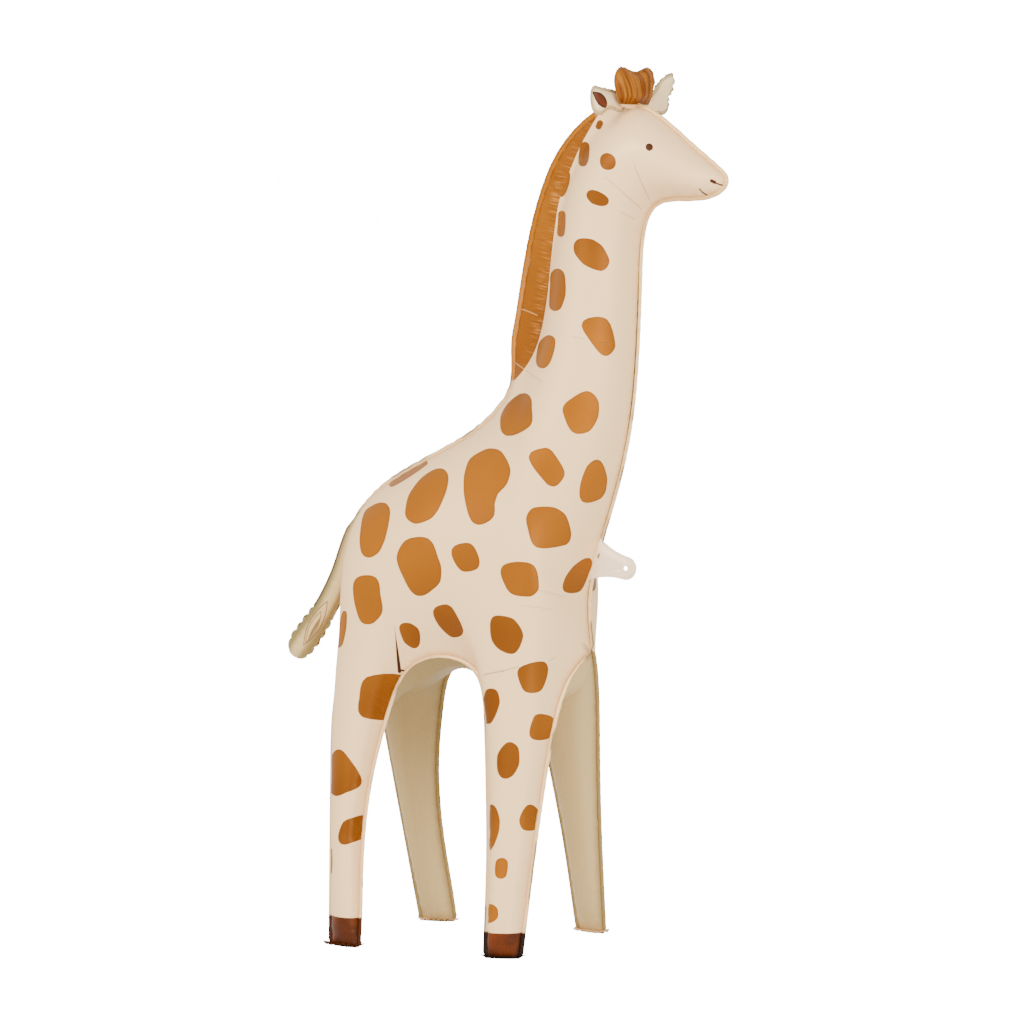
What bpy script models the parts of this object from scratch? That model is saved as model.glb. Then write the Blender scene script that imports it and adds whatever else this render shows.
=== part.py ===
"""Giraffe foil balloon, standing on its four feet and facing +X.

Metres, +Z up. The origin is on the floor under the middle of the balloon.
The giraffe's left is +Y. The long welded seams run in the plane Y = 0.
"""
import math

import bmesh
import bpy
from mathutils import Matrix, Vector, kdtree

# Driving sizes, in metres
HEIGHT = 1.20             # floor to the tips of the horns
BORDER = 0.006            # width of the welded border outside every seam
FOIL = 0.0010             # thickness of a welded border
BORDER_ROOT = 0.004       # how far a border reaches into the air chamber
MIDDLE_TRIM = 0.06        # share of the first step left off each end of the middle border
LEG_TRIM = 0.13           # the same for the borders of the legs and arches
FIT_GAP = 0.0003          # clearance between two pieces that touch
TAB_LENGTH = 0.066        # filling tab on the chest, from the seam to its round end
TAB_ROOT_WIDTH = 0.062
TAB_END_WIDTH = 0.032
TAB_THICKNESS = 0.0014    # two layers of foil and the valve's film
TAB_HOLE = 0.006          # eyelet for the weight's ribbon
TAB_DROP = math.radians(15.0)
TAB_COLUMN = 10.65        # its place along the chest seam
SMALL_BORDER = 0.004      # welded border round the tail, the horns and the ears
BODY_LEVELS = 1           # rounds of subdivision on the body's cage

# The figure is a free form: its places are counted in shares of its height
FIGURE_TOP = 100.3
SHARE = HEIGHT / FIGURE_TOP

# Columns of the cage, counted along the body from the rump seam to the nose seam
HIND_LEG = 1              # rear edge of the hind leg; the leg is two columns wide
FORE_LEG = 6
CHEST_POINT = 9           # where both arch seams meet the chest seam
NOSE = 25
# Rows of the cage, counted from the back seam round to the middle of the belly
SIDE_ROWS = 6
ARCH_ROW = 5
CREASE_ROW = 6
BELLY_ROW = 7

# Back of the tube, keyed by column: (x, z)
BACK_LINE = {
    0: (-20.3, 49.0), 2: (-16.6, 52.6), 4: (-11.2, 55.5), 6: (-5.9, 58.1), 8: (-1.8, 61.2),
    9: (0.4, 63.8), 10: (2.1, 66.2), 12: (3.9, 70.2), 14: (5.0, 75.8), 16: (6.1, 82.1),
    18: (8.3, 89.1), 19: (10.7, 92.6), 20: (13.5, 95.3), 21: (16.9, 95.5), 22: (20.0, 93.1),
    23: (22.7, 90.7), 24: (25.1, 88.8), 25: (26.3, 87.7),
}
# Chest and throat seam, keyed by column: (x, z)
FRONT_LINE = {
    9: (10.1, 34.1), 10: (9.2, 40.2), 11: (11.3, 47.0), 12: (13.6, 53.8), 13: (14.9, 59.8),
    14: (15.5, 65.2), 16: (16.0, 75.6), 17: (16.1, 79.8), 18: (16.6, 82.9), 19: (17.8, 84.8),
    20: (19.4, 85.3), 22: (22.2, 85.3), 24: (25.0, 85.5), 25: (26.1, 86.1),
}
# Arch seam between the flank and the belly, keyed by column: (x, y, z)
ARCH_LINE = {
    0: (-20.4, 0.0, 34.6), 1: (-20.1, 4.0, 31.8), 2: (-16.4, 5.6, 31.6), 3: (-11.8, 5.6, 31.2),
    4: (-8.2, 6.2, 33.4), 5: (-4.2, 6.2, 33.7), 6: (-0.6, 5.6, 31.8), 7: (5.0, 5.6, 31.4),
    8: (8.8, 3.6, 31.6), 9: (10.1, 0.0, 34.1),
}
# Crease where the legs' inner faces leave the belly, and the belly's middle: (x, y, z)
CREASE_LINE = {
    1: (-19.2, 1.6, 29.6), 2: (-15.8, 1.9, 28.0), 3: (-12.0, 1.8, 28.6), 4: (-8.2, 2.9, 31.8),
    5: (-4.0, 2.9, 32.1), 6: (-0.2, 1.8, 28.8), 7: (5.0, 1.9, 28.0), 8: (8.8, 1.6, 29.4),
}
BELLY_DROP = 0.5          # the belly's middle hangs this far below the crease
# Half-width of the body, keyed by column
HALF_WIDTH = {
    0: 0.0, 1: 7.3, 2: 8.8, 4: 9.2, 6: 9.2, 8: 8.8, 9: 8.4, 11: 7.4, 13: 6.3, 15: 5.7,
    17: 5.5, 19: 5.5, 20: 5.2, 21: 4.7, 22: 3.9, 23: 3.1, 24: 1.9, 25: 0.0,
}
# The rump seam bows out and the buttocks beside it are drawn in, keyed by column
RUMP_ROUNDING = {0: -0.9, 1: 0.2}
NOSE_BOW = 0.5
# How far the flat mane stands out behind the neck, keyed by column
MANE_DEPTH = {
    9: 0.0, 10: 2.0, 11: 3.1, 12: 3.3, 14: 3.4, 16: 3.2, 17: 3.0, 18: 2.8, 19: 2.2, 20: 1.0, 21: 0.0,
}
MANE_HALF_THICKNESS = 0.75

# Legs, keyed by height: x of the rear and the front edge
LEG_EDGES = {
    "hind": ({0: -17.6, 14: -19.0, 22: -19.8, 32: -20.8},
             {0: -13.9, 3: -14.0, 12: -14.8, 19: -14.6, 25: -13.4, 30: -11.9}),
    "fore": ({0: 2.9, 14: 2.0, 20: 1.2, 27: 0.3},
             {0: 6.4, 12: 6.9, 21: 7.5, 27: 8.1, 31: 8.9}),
}
LEG_SPREAD = (11.4, 0.196)      # y of a leg's middle at the floor, and how it closes with height
LEG_TURN = {"hind": 0.4, "fore": -0.5}   # how far the front edge stands out beyond the middle
LEG_HALF_THICKNESS = {0: 0.55, 1.2: 1.2, 3.3: 1.7, 8: 2.0, 15: 2.3, 22: 2.9, 27: 3.3}
LEG_HEIGHTS = (26.5, 19.5, 11.5, 4.5, 1.5, 0.0)
# The cage stands a little outside the soft shape that is made from it
NECK_SWELL = 1.06
LEG_SWELL = 1.05
LEG_ROUNDNESS = (0.9, 0.8)      # powers of a leg's oval section, along and across

# Small glued-on balloons
CROWN = (15.7, 95.8)            # x and z of the middle of the horns' base
HORN_TURN = math.radians(-8.0)  # the horns stand a little askew across the crown
HORN_LEAN = math.radians(3.0)
# Each lobe's distance from the middle of the pair, and its radius
HORN_LOBES = {"right": (2.6, 1.5), "left": (2.45, 1.3)}
HORN_NOTCH = 0.75
HORN_BASE = {"right": (3.3, 0.1), "left": (2.3, 0.0)}   # corners of the base, level with the crown
HORN_TONGUE = (1.0, -1.8)       # half the width and the foot of the tongue that is set into the crown
HORN_CENTRE = (-0.2, 1.2)
HORN_HALF_THICKNESS = 0.95
EAR_TURN = math.radians(-15.0)
EAR_ROOT = {"right": (2.2, -0.6), "left": (2.8, 0.0)}     # y and z from the middle of the base
EAR_RISE = {"right": math.radians(11.0), "left": math.radians(36.0)}
# Corners of each ear's weld, (outward, up) from its root: the right ear is a fan, the left one a leaf
EAR_CORNERS = {
    "right": ((-0.6, 1.5), (1.3, 1.7), (3.2, 1.35), (4.5, 1.45), (4.8, 0.8), (4.5, -0.7), (3.55, -1.4),
              (2.7, -0.8), (1.9, 0.0), (0.6, 0.1), (-0.9, 0.0)),
    "left": ((-0.9, 0.4), (1.8, 0.55), (3.4, 1.0), (4.6, 0.9), (6.2, 0.45), (5.4, -0.35), (4.0, -0.95),
             (3.3, -1.3), (2.9, -2.1), (1.8, -2.0), (0.9, -1.0), (-0.9, -1.4)),
}
EAR_CENTRE = {"right": (2.7, 0.2), "left": (2.8, -0.3)}
EAR_HALF_THICKNESS = 0.55
EAR_BEHIND = 0.6
PILLOW_POWER = 0.6              # how blunt a small balloon's section is
TAIL_LINE = {0: (-19.4, 50.4), 1: (-21.2, 46.1), 2: (-22.7, 41.9), 3: (-24.7, 38.1), 4: (-26.9, 35.1),
             5: (-29.2, 32.4)}
TAIL_HALF_WIDTH = {0: 0.6, 1: 0.95, 2: 1.1, 3: 1.2, 4: 1.45, 4.7: 1.25, 5: 0.6}
TAIL_DEPTH = 0.75               # thickness of the tail as a share of its width
TAIL_BEND = (0.70, 0.72)        # the corner of its section between weld and middle, as shares of both
TUFT_FROM = 3.2
TAIL_STEPS = 13


def through(keys, at):
    """Value at a place on the smooth curve that passes through the keyed values."""
    places = sorted(keys)
    values = [Vector(keys[p]) if isinstance(keys[p], tuple) else Vector((keys[p], 0.0)) for p in places]
    at = min(max(at, places[0]), places[-1])
    i = max(k for k in range(len(places) - 1) if places[k] <= at)
    slopes = [(values[k + 1] - values[k]) / (places[k + 1] - places[k]) for k in range(len(places) - 1)]

    def tangent(k):
        near = slopes[max(k - 1, 0)]
        far = slopes[min(k, len(slopes) - 1)]
        return (near + far) / 2.0

    step = places[i + 1] - places[i]
    t = (at - places[i]) / step
    value = (values[i] * (2 * t**3 - 3 * t**2 + 1) + tangent(i) * step * (t**3 - 2 * t**2 + t)
             + values[i + 1] * (3 * t**2 - 2 * t**3) + tangent(i + 1) * step * (t**3 - t**2))
    return value if isinstance(keys[places[0]], tuple) else value.x


def flank_profile(row):
    """Where a row lies between the back seam and the lower seam, and how wide the body is there."""
    return ((0.0, 0.0), (0.065, 0.47), (0.27, 0.90), (0.55, 1.03), (0.80, 0.96))[row]


def neck_profile(row):
    """The same for the neck and the head, whose lower seam is in the middle plane."""
    angle = math.radians((0.0, 30.0, 66.0, 104.0, 144.0, 180.0)[row])
    return (1.0 - math.cos(angle)) / 2.0, math.sin(angle) * NECK_SWELL


def body_point(column, row):
    """Cage point of the right half, in metres."""
    back = through(BACK_LINE, column)
    width = through(HALF_WIDTH, column)
    if row == BELLY_ROW:
        x, _, z = through(CREASE_LINE, column)
        return Vector((x, 0.0, z - BELLY_DROP)) * SHARE
    if row == CREASE_ROW:
        x, y, z = through(CREASE_LINE, column)
        return Vector((x, -y, z)) * SHARE
    if column <= CHEST_POINT:
        low = through(ARCH_LINE, column)
        if row == ARCH_ROW:
            return Vector((low.x, -low.y, low.z)) * SHARE
        along, bulge = flank_profile(row)
        rounding = math.sin(math.pi * along) * RUMP_ROUNDING.get(column, 0.0)
        return Vector((back.x + (low.x - back.x) * along + rounding, -bulge * width,
                       back.y + (low.z - back.y) * along)) * SHARE
    front = through(FRONT_LINE, column)
    along, bulge = neck_profile(row)
    if column == NOSE:
        bow = math.sin(math.pi * along) * NOSE_BOW
        return Vector((back.x + (front.x - back.x) * along + bow, 0.0,
                       back.y + (front.y - back.y) * along)) * SHARE
    point = Vector((back.x + (front.x - back.x) * along, -bulge * width, back.y + (front.y - back.y) * along))
    depth = through(MANE_DEPTH, column) if column <= 21 else 0.0
    if depth > 0.0 and row <= 1:
        ahead = through(BACK_LINE, column + 0.5) - through(BACK_LINE, column - 0.5)
        out = Vector((-ahead.y, 0.0, ahead.x)).normalized()
        root = Vector((back.x, 0.0, back.y))
        if row == 0:
            point = root + out * depth
        else:
            share = min(depth, 1.0)
            point = point.lerp(root + Vector((0.0, -MANE_HALF_THICKNESS, 0.0)), share)
    return point * SHARE


def leg_ring(leg, height):
    """Eight points round a leg, from its rear seam over the outer face to its front seam and back."""
    rear_keys, front_keys = LEG_EDGES[leg]
    rear = through(rear_keys, height)
    front = through(front_keys, height)
    middle = (rear + front) / 2.0
    half = (front - rear) / 2.0
    seam_y = LEG_SPREAD[0] - LEG_SPREAD[1] * height
    thick = through(LEG_HALF_THICKNESS, height)
    ring = []
    for k in range(8):
        angle = math.pi * k / 4.0
        ahead = -math.copysign(abs(math.cos(angle)) ** LEG_ROUNDNESS[0], math.cos(angle))
        x = middle + half * ahead
        y = (seam_y + LEG_TURN[leg] * ahead
             + thick * LEG_SWELL * math.copysign(abs(math.sin(angle)) ** LEG_ROUNDNESS[1], math.sin(angle)))
        ring.append(Vector((x, -y, height)) * SHARE)
    return ring


def merge_chain(points, levels):
    """Places of a creased seam after the given rounds of subdivision."""
    for _ in range(levels):
        finer = [points[0]]
        for k in range(len(points) - 1):
            if k > 0:
                finer.append((points[k - 1] + points[k] * 6.0 + points[k + 1]) / 8.0)
            finer.append((points[k] + points[k + 1]) / 2.0)
        finer.append(points[-1])
        points = finer
    return points


def rounded(corners):
    """A closed outline with its corners rounded off and a new point on each side."""
    finer = []
    for k, corner in enumerate(corners):
        after = corners[(k + 1) % len(corners)]
        finer.append((corners[k - 1] + corner * 6.0 + after) / 8.0)
        finer.append((corner + after) / 2.0)
    return finer


def body_cage():
    """Half of the body as a quad cage, with its creased seams, and the seams as chains of points."""
    mesh = bmesh.new()
    crease = mesh.edges.layers.float.new("crease_edge")
    grid = {}
    rows_at = lambda column: range(BELLY_ROW + 1) if 0 < column < CHEST_POINT else range(SIDE_ROWS)
    for column in range(NOSE + 1):
        for row in rows_at(column):
            grid[column, row] = mesh.verts.new(body_point(column, row))
    for row in (CREASE_ROW, BELLY_ROW):
        grid[0, row] = grid[0, ARCH_ROW]
        grid[CHEST_POINT, row] = grid[CHEST_POINT, ARCH_ROW]

    holes = {(c + side, row) for c in (HIND_LEG, FORE_LEG) for side in (0, 1) for row in (4, 5)}
    for column in range(NOSE):
        last = BELLY_ROW if column < CHEST_POINT else ARCH_ROW
        for row in range(last):
            if (column, row) in holes:
                continue
            corners = [grid[column, row], grid[column, row + 1], grid[column + 1, row + 1], grid[column + 1, row]]
            unique = list(dict.fromkeys(corners))
            if len(unique) > 2:
                mesh.faces.new(unique)

    creased = []
    middle = [grid[0, row] for row in range(ARCH_ROW, -1, -1)]
    middle += [grid[column, 0] for column in range(1, NOSE + 1)]
    middle += [grid[NOSE, row] for row in range(1, ARCH_ROW + 1)]
    middle += [grid[column, ARCH_ROW] for column in range(NOSE - 1, CHEST_POINT - 1, -1)]
    creased.append(middle)

    edges = {}
    for start, leg in ((HIND_LEG, "hind"), (FORE_LEG, "fore")):
        ring = [grid[start, 5], grid[start, 4], grid[start + 1, 4], grid[start + 2, 4],
                grid[start + 2, 5], grid[start + 2, 6], grid[start + 1, 6], grid[start, 6]]
        rear, front = [ring[0]], [ring[4]]
        for height in LEG_HEIGHTS:
            new = [mesh.verts.new(p) for p in leg_ring(leg, height)]
            for k in range(8):
                mesh.faces.new((ring[k], new[k], new[(k + 1) % 8], ring[(k + 1) % 8]))
            ring = new
            rear.append(ring[0])
            front.append(ring[4])
        mesh.faces.new((ring[0], ring[7], ring[1]))
        mesh.faces.new((ring[1], ring[7], ring[6], ring[2]))
        mesh.faces.new((ring[2], ring[6], ring[5], ring[3]))
        mesh.faces.new((ring[3], ring[5], ring[4]))
        creased.append(ring + [ring[0]])
        edges[leg] = (rear, front)

    seams = [
        [grid[0, ARCH_ROW]] + edges["hind"][0],
        edges["hind"][1][::-1] + [grid[c, ARCH_ROW] for c in range(HIND_LEG + 3, FORE_LEG)] + edges["fore"][0],
        edges["fore"][1][::-1] + [grid[CHEST_POINT, ARCH_ROW]],
    ]
    creased += seams
    crease_row = [grid[c, CREASE_ROW] for c in range(HIND_LEG, FORE_LEG + 3)]
    for chain, sharpness in [(c, 1.0) for c in creased] + [(crease_row, 0.7)]:
        for a, b in zip(chain, chain[1:]):
            edge = mesh.edges.get((a, b))
            if edge:
                edge[crease] = sharpness
    mane_root = [grid[c, 1] for c in range(CHEST_POINT + 1, 21)]
    for a, b in zip(mane_root, mane_root[1:]):
        mesh.edges.get((a, b))[crease] = 0.6

    chains = [[v.co.copy() for v in chain] for chain in [middle] + seams]
    mesh.normal_update()
    data = bpy.data.meshes.new("body")
    mesh.to_mesh(data)
    mesh.free()
    return data, chains


def add_object(name, data, collection, material=None):
    item = bpy.data.objects.new(name, data)
    collection.objects.link(item)
    if material:
        data.materials.append(material)
    return item


def foil_material(name, colour, roughness, metallic):
    material = bpy.data.materials.new(name)
    material.use_nodes = True
    shader = material.node_tree.nodes["Principled BSDF"]
    shader.inputs["Base Color"].default_value = (*colour, 1.0)
    shader.inputs["Roughness"].default_value = roughness
    shader.inputs["Metallic"].default_value = metallic
    return material


def evaluated_copy(item, name, collection):
    """A plain mesh object with the modifiers of another one applied."""
    graph = bpy.context.evaluated_depsgraph_get()
    data = bpy.data.meshes.new_from_object(item.evaluated_get(graph))
    copy = bpy.data.objects.new(name, data)
    copy.matrix_world = item.matrix_world
    collection.objects.link(copy)
    return copy


def hide_helper(item):
    item.hide_render = True
    item.display_type = "WIRE"


def ribbon(name, path, outward, collection, room=0.0):
    """A thin closed strip along a seam, from inside the chamber to the border's edge, with room round it."""
    mesh = bmesh.new()
    rings = []
    for k, (place, out) in enumerate(zip(path, outward)):
        along = (path[min(k + 1, len(path) - 1)] - path[max(k - 1, 0)]).normalized()
        side = along.cross(out).normalized() * (FOIL / 2.0 + room)
        level = out - along * out.dot(along)
        if k in (0, len(path) - 1) and abs(along.z) > 0.9:
            level.z = 0.0
            side.z = 0.0
        level.normalize()
        root = place - level * BORDER_ROOT
        edge = place + level * (BORDER + room)
        ring = [root - side, edge - side, edge + side, root + side]
        rings.append([mesh.verts.new(p) for p in ring])
    for a, b in zip(rings, rings[1:]):
        for k in (1, 3):
            mesh.faces.new((a[k], b[k], b[(k + 1) % 4], a[(k + 1) % 4]))
        # Both wide faces fold along the same diagonal, so that a twisted strip keeps its thickness
        for near, far in ((0, 1), (3, 2)):
            mesh.faces.new((a[near], b[near], b[far]))
            mesh.faces.new((a[near], b[far], a[far]))
    mesh.faces.new(rings[0])
    mesh.faces.new(rings[-1][::-1])
    bmesh.ops.recalc_face_normals(mesh, faces=mesh.faces)
    data = bpy.data.meshes.new(name)
    mesh.to_mesh(data)
    mesh.free()
    strip = add_object(name, data, collection)
    hide_helper(strip)
    return strip


def unite(target, tool):
    boolean = target.modifiers.new("Join " + tool.name, "BOOLEAN")
    boolean.operation = "UNION"
    boolean.solver = "EXACT"
    boolean.object = tool


def trim_ends(path, share):
    """Ends of a border short of the point where seams meet, and just above the sole."""
    for end, after in ((0, 1), (-1, -2)):
        if path[end].z > BORDER:
            path[end] = path[end].lerp(path[after], share)
        else:
            path[end].z = FOIL
    return path


def plane_outward(path):
    """Outward directions of a seam that lies in the middle plane and runs clockwise round the body."""
    result = []
    for k in range(len(path)):
        along = path[min(k + 1, len(path) - 1)] - path[max(k - 1, 0)]
        result.append(Vector((-along.z, 0.0, along.x)).normalized())
    return result


def filling_tab(place, collection):
    """Flat tab with its eyelet, welded into the chest seam."""
    steps = 8
    reach = TAB_LENGTH - TAB_END_WIDTH / 2.0
    upper = []
    for k in range(steps + 1):
        t = k / steps
        width = TAB_END_WIDTH + (TAB_ROOT_WIDTH - TAB_END_WIDTH) * (1.0 - t) ** 2
        upper.append(Vector((reach * t, width / 2.0)))
    end = [Vector((reach + math.sin(a) * TAB_END_WIDTH / 2.0, math.cos(a) * TAB_END_WIDTH / 2.0))
           for a in (math.pi * k / steps for k in range(1, steps))]
    root = [Vector((-TAB_END_WIDTH / 2.0, TAB_ROOT_WIDTH / 2.0))]
    half = root + upper
    outline = half + end + [Vector((p.x, -p.y)) for p in reversed(half)]
    hole = [Vector((reach + math.cos(a) * TAB_HOLE / 2.0, math.sin(a) * TAB_HOLE / 2.0))
            for a in (2.0 * math.pi * k / 16 for k in range(16))]
    curve = bpy.data.curves.new("tab", "CURVE")
    curve.dimensions = "2D"
    curve.fill_mode = "BOTH"
    curve.extrude = TAB_THICKNESS / 2.0
    for loop in (outline, hole):
        spline = curve.splines.new("POLY")
        spline.points.add(len(loop) - 1)
        for point, p in zip(spline.points, loop):
            point.co = (p.x, p.y, 0.0, 1.0)
        spline.use_cyclic_u = True
    flat = bpy.data.objects.new("tab outline", curve)
    collection.objects.link(flat)
    flat.matrix_world = (Matrix.Translation(place) @ Matrix.Rotation(TAB_DROP, 4, "Y")
                         @ Matrix.Rotation(math.pi / 2.0, 4, "X"))
    bpy.context.view_layer.update()
    tab = evaluated_copy(flat, "tab", collection)
    bpy.data.objects.remove(flat)
    mesh = bmesh.new()
    mesh.from_mesh(tab.data)
    bmesh.ops.remove_doubles(mesh, verts=mesh.verts, dist=0.00002)
    mesh.to_mesh(tab.data)
    mesh.free()
    hide_helper(tab)
    return tab


def make_body(parts, helpers, material):
    """The air-filled skin with its legs, the borders of its seams and the filling tab.

    Returns two slightly larger helpers, for trimming what is glued on.
    """
    half_data, chains = body_cage()
    half = add_object("body half", half_data, helpers)
    mirror = half.modifiers.new("Mirror", "MIRROR")
    mirror.use_axis = (False, True, False)
    mirror.merge_threshold = 0.00005
    soft = half.modifiers.new("Subdivision", "SUBSURF")
    soft.levels = BODY_LEVELS
    soft.render_levels = BODY_LEVELS
    split = half.modifiers.new("Triangles", "TRIANGULATE")
    split.quad_method = "SHORTEST_DIAGONAL"
    hide_helper(half)
    skin = evaluated_copy(half, "body", parts)
    skin.data.materials.append(material)
    room = evaluated_copy(half, "room round the skin", helpers)
    swollen = room.modifiers.new("Gap", "DISPLACE")
    swollen.mid_level = 0.0
    swollen.strength = FIT_GAP
    hide_helper(room)
    tree = kdtree.KDTree(len(skin.data.vertices))
    for vertex in skin.data.vertices:
        tree.insert(vertex.co, vertex.index)
    tree.balance()

    middle = trim_ends(merge_chain(chains[0], BODY_LEVELS), MIDDLE_TRIM)
    unite(skin, ribbon("border middle", middle, plane_outward(middle), helpers))
    slot = ribbon("room round the border", middle, plane_outward(middle), helpers, FIT_GAP)
    for number, chain in enumerate(chains[1:]):
        path = trim_ends(merge_chain(chain, BODY_LEVELS), LEG_TRIM)
        outward = [skin.data.vertices[tree.find(p)[1]].normal.copy() for p in path]
        for side, sign in (("right", 1.0), ("left", -1.0)):
            flip = Matrix.Diagonal((1.0, sign, 1.0))
            strip = ribbon("border %s %d" % (side, number), [flip @ p for p in path],
                           [flip @ n for n in outward], helpers)
            unite(skin, strip)
    seam = through(FRONT_LINE, TAB_COLUMN)
    unite(skin, filling_tab(Vector((seam.x, 0.0, seam.y)) * SHARE, helpers))
    return [room, slot]


def closed_mesh(name, rings, caps):
    """Faces between rings of equal length, each ring closed on itself."""
    mesh = bmesh.new()
    loops = [[mesh.verts.new(p) for p in ring] for ring in rings]
    count = len(rings[0])
    for a, b in zip(loops, loops[1:]):
        for k in range(count):
            mesh.faces.new((a[k], a[(k + 1) % count], b[(k + 1) % count], b[k]))
    for loop, tip in caps:
        corner = loops[loop]
        if tip is None:
            mesh.faces.new(corner)
            continue
        middle = mesh.verts.new(tip)
        for k in range(count):
            mesh.faces.new((corner[k], corner[(k + 1) % count], middle))
    bmesh.ops.recalc_face_normals(mesh, faces=mesh.faces)
    bmesh.ops.triangulate(mesh, faces=mesh.faces)
    data = bpy.data.meshes.new(name)
    mesh.to_mesh(data)
    mesh.free()
    return data


def pillow(name, outline, centre, half_thickness, place):
    """Two flat foils welded round an outline and blown up, with their border outside the weld."""
    turning = sum(p.x * q.y - p.y * q.x for p, q in zip(outline, outline[1:] + outline[:1]))
    if turning < 0.0:
        outline = outline[::-1]

    def offset(width):
        result = []
        for k, p in enumerate(outline):
            along = (outline[(k + 1) % len(outline)] - outline[k - 1]).normalized()
            result.append(p + Vector((along.y, -along.x)) * width)
        return result

    def ring(share, height):
        return [place @ Vector((height, *(centre + (p - centre) * share))) for p in outline]

    half_foil = FOIL / 2.0
    swell = [(share, half_thickness * (1.0 - share ** 2) ** PILLOW_POWER) for share in (0.88, 0.66, 0.36)]
    edge = offset(SMALL_BORDER)
    front = [ring(1.0, half_foil)] + [ring(share, height) for share, height in swell]
    rear = [ring(1.0, -half_foil)] + [ring(share, -height) for share, height in swell]
    border = [[place @ Vector((side, *p)) for p in edge] for side in (half_foil, -half_foil)]
    rings = front[::-1] + border + rear
    tips = [(0, place @ Vector((half_thickness, *centre))), (-1, place @ Vector((-half_thickness, *centre)))]
    return closed_mesh(name, rings, tips)


def cut_to_fit(piece, rooms):
    """Trim a piece where it meets another, by helpers that are larger by the fitting gap."""
    for room in rooms:
        boolean = piece.modifiers.new("Clear of " + room.name, "BOOLEAN")
        boolean.operation = "DIFFERENCE"
        boolean.solver = "EXACT"
        boolean.object = room


def make_horns(parts, helpers, material, rooms):
    """Two round lobes side by side, in one small pillow that stands across the crown."""
    top = FIGURE_TOP - CROWN[1] - SMALL_BORDER / SHARE - HORN_LOBES["left"][0] * math.sin(HORN_LEAN)
    outline = [Vector((0.0, top - HORN_NOTCH))]
    for side, sign in (("left", 1.0), ("right", -1.0)):
        apart, radius = HORN_LOBES[side]
        half = [Vector((apart + math.cos(a) * radius, top + (math.sin(a) - 1.0) * radius))
                for a in (math.radians(d) for d in range(122, -39, -32))]
        half += [Vector(HORN_BASE[side]), Vector(HORN_TONGUE)]
        half = [Vector((p.x * sign, p.y)) for p in half]
        outline += half if side == "left" else half[::-1]
    outline = [p * SHARE for p in outline]
    place = (Matrix.Translation(Vector((CROWN[0], 0.0, CROWN[1])) * SHARE)
             @ Matrix.Rotation(HORN_TURN, 4, "Z") @ Matrix.Rotation(HORN_LEAN, 4, "X"))
    centre = Vector(HORN_CENTRE) * SHARE
    horns = add_object("horns", pillow("horns", outline, centre, HORN_HALF_THICKNESS * SHARE, place), parts,
                       material)
    cut_to_fit(horns, rooms)
    room = evaluated_copy(horns, "room round the horns", helpers)
    swollen = room.modifiers.new("Gap", "DISPLACE")
    swollen.mid_level = 0.0
    swollen.strength = FIT_GAP
    hide_helper(room)
    return room


def make_ear(side, parts, material, rooms):
    """A small pillow that stands out from the side of the crown, just behind the horns."""
    sign = -1.0 if side == "right" else 1.0
    outline = rounded([Vector((out * sign, up)) * SHARE for out, up in EAR_CORNERS[side]])
    apart, up = EAR_ROOT[side]
    place = (Matrix.Translation(Vector((CROWN[0] - EAR_BEHIND, 0.0, CROWN[1])) * SHARE)
             @ Matrix.Rotation(EAR_TURN, 4, "Z")
             @ Matrix.Translation(Vector((0.0, sign * apart, up)) * SHARE)
             @ Matrix.Rotation(sign * EAR_RISE[side], 4, "X"))
    out, up = EAR_CENTRE[side]
    centre = Vector((sign * out, up)) * SHARE
    name = "ear_" + side
    ear = add_object(name, pillow(name, outline, centre, EAR_HALF_THICKNESS * SHARE, place), parts, material)
    cut_to_fit(ear, rooms)


def make_tail(parts, material, rooms):
    """A slim tube with a border on both edges, scalloped round its tuft."""
    rings = []
    last = max(TAIL_LINE)
    half_foil = FOIL / 2.0
    for k in range(TAIL_STEPS + 1):
        at = last * k / TAIL_STEPS
        centre = through(TAIL_LINE, at)
        ahead = through(TAIL_LINE, min(at + 0.1, last)) - through(TAIL_LINE, max(at - 0.1, 0.0))
        across = Vector((ahead.y, 0.0, -ahead.x)).normalized()
        half = through(TAIL_HALF_WIDTH, at) * SHARE
        deep = half * TAIL_DEPTH
        scallop = SMALL_BORDER * (0.5 + 0.5 * (k % 2)) if at > TUFT_FROM else SMALL_BORDER
        bend = (TAIL_BEND[0] * half, TAIL_BEND[1] * deep)
        face = [(half + scallop, half_foil), (half, half_foil), bend, (0.0, deep),
                (-bend[0], bend[1]), (-half, half_foil), (-half - scallop, half_foil)]
        section = face + [(u, -y) for u, y in reversed(face)]
        place = Vector((centre.x, 0.0, centre.y)) * SHARE
        rings.append([place + across * u + Vector((0.0, y, 0.0)) for u, y in section])
    tail = add_object("tail", closed_mesh("tail", rings, [(0, None), (-1, None)]), parts, material)
    cut_to_fit(tail, rooms)


def stand_on_origin(parts):
    """Move everything, helpers too, so that the origin is under the middle of the balloon."""
    graph = bpy.context.evaluated_depsgraph_get()
    reach = []
    for item in parts.objects:
        reach += [(item.matrix_world @ Vector(corner)).x for corner in item.evaluated_get(graph).bound_box]
    shift = Matrix.Translation((-(min(reach) + max(reach)) / 2.0, 0.0, 0.0))
    for item in bpy.data.objects:
        item.matrix_world = shift @ item.matrix_world


def main():
    for item in list(bpy.data.objects):
        bpy.data.objects.remove(item)
    parts = bpy.data.collections.new("giraffe foil balloon")
    helpers = bpy.data.collections.new("helpers")
    for collection in (parts, helpers):
        bpy.context.scene.collection.children.link(collection)
    cream = foil_material("cream foil", (0.76, 0.67, 0.54), 0.38, 0.25)
    brown = foil_material("brown foil", (0.36, 0.13, 0.03), 0.35, 0.35)
    rooms = make_body(parts, helpers, cream)
    horn_room = make_horns(parts, helpers, brown, rooms)
    for side in ("right", "left"):
        make_ear(side, parts, cream.copy(), rooms + [horn_room])
    make_tail(parts, cream.copy(), rooms)
    stand_on_origin(parts)


main()
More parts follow.
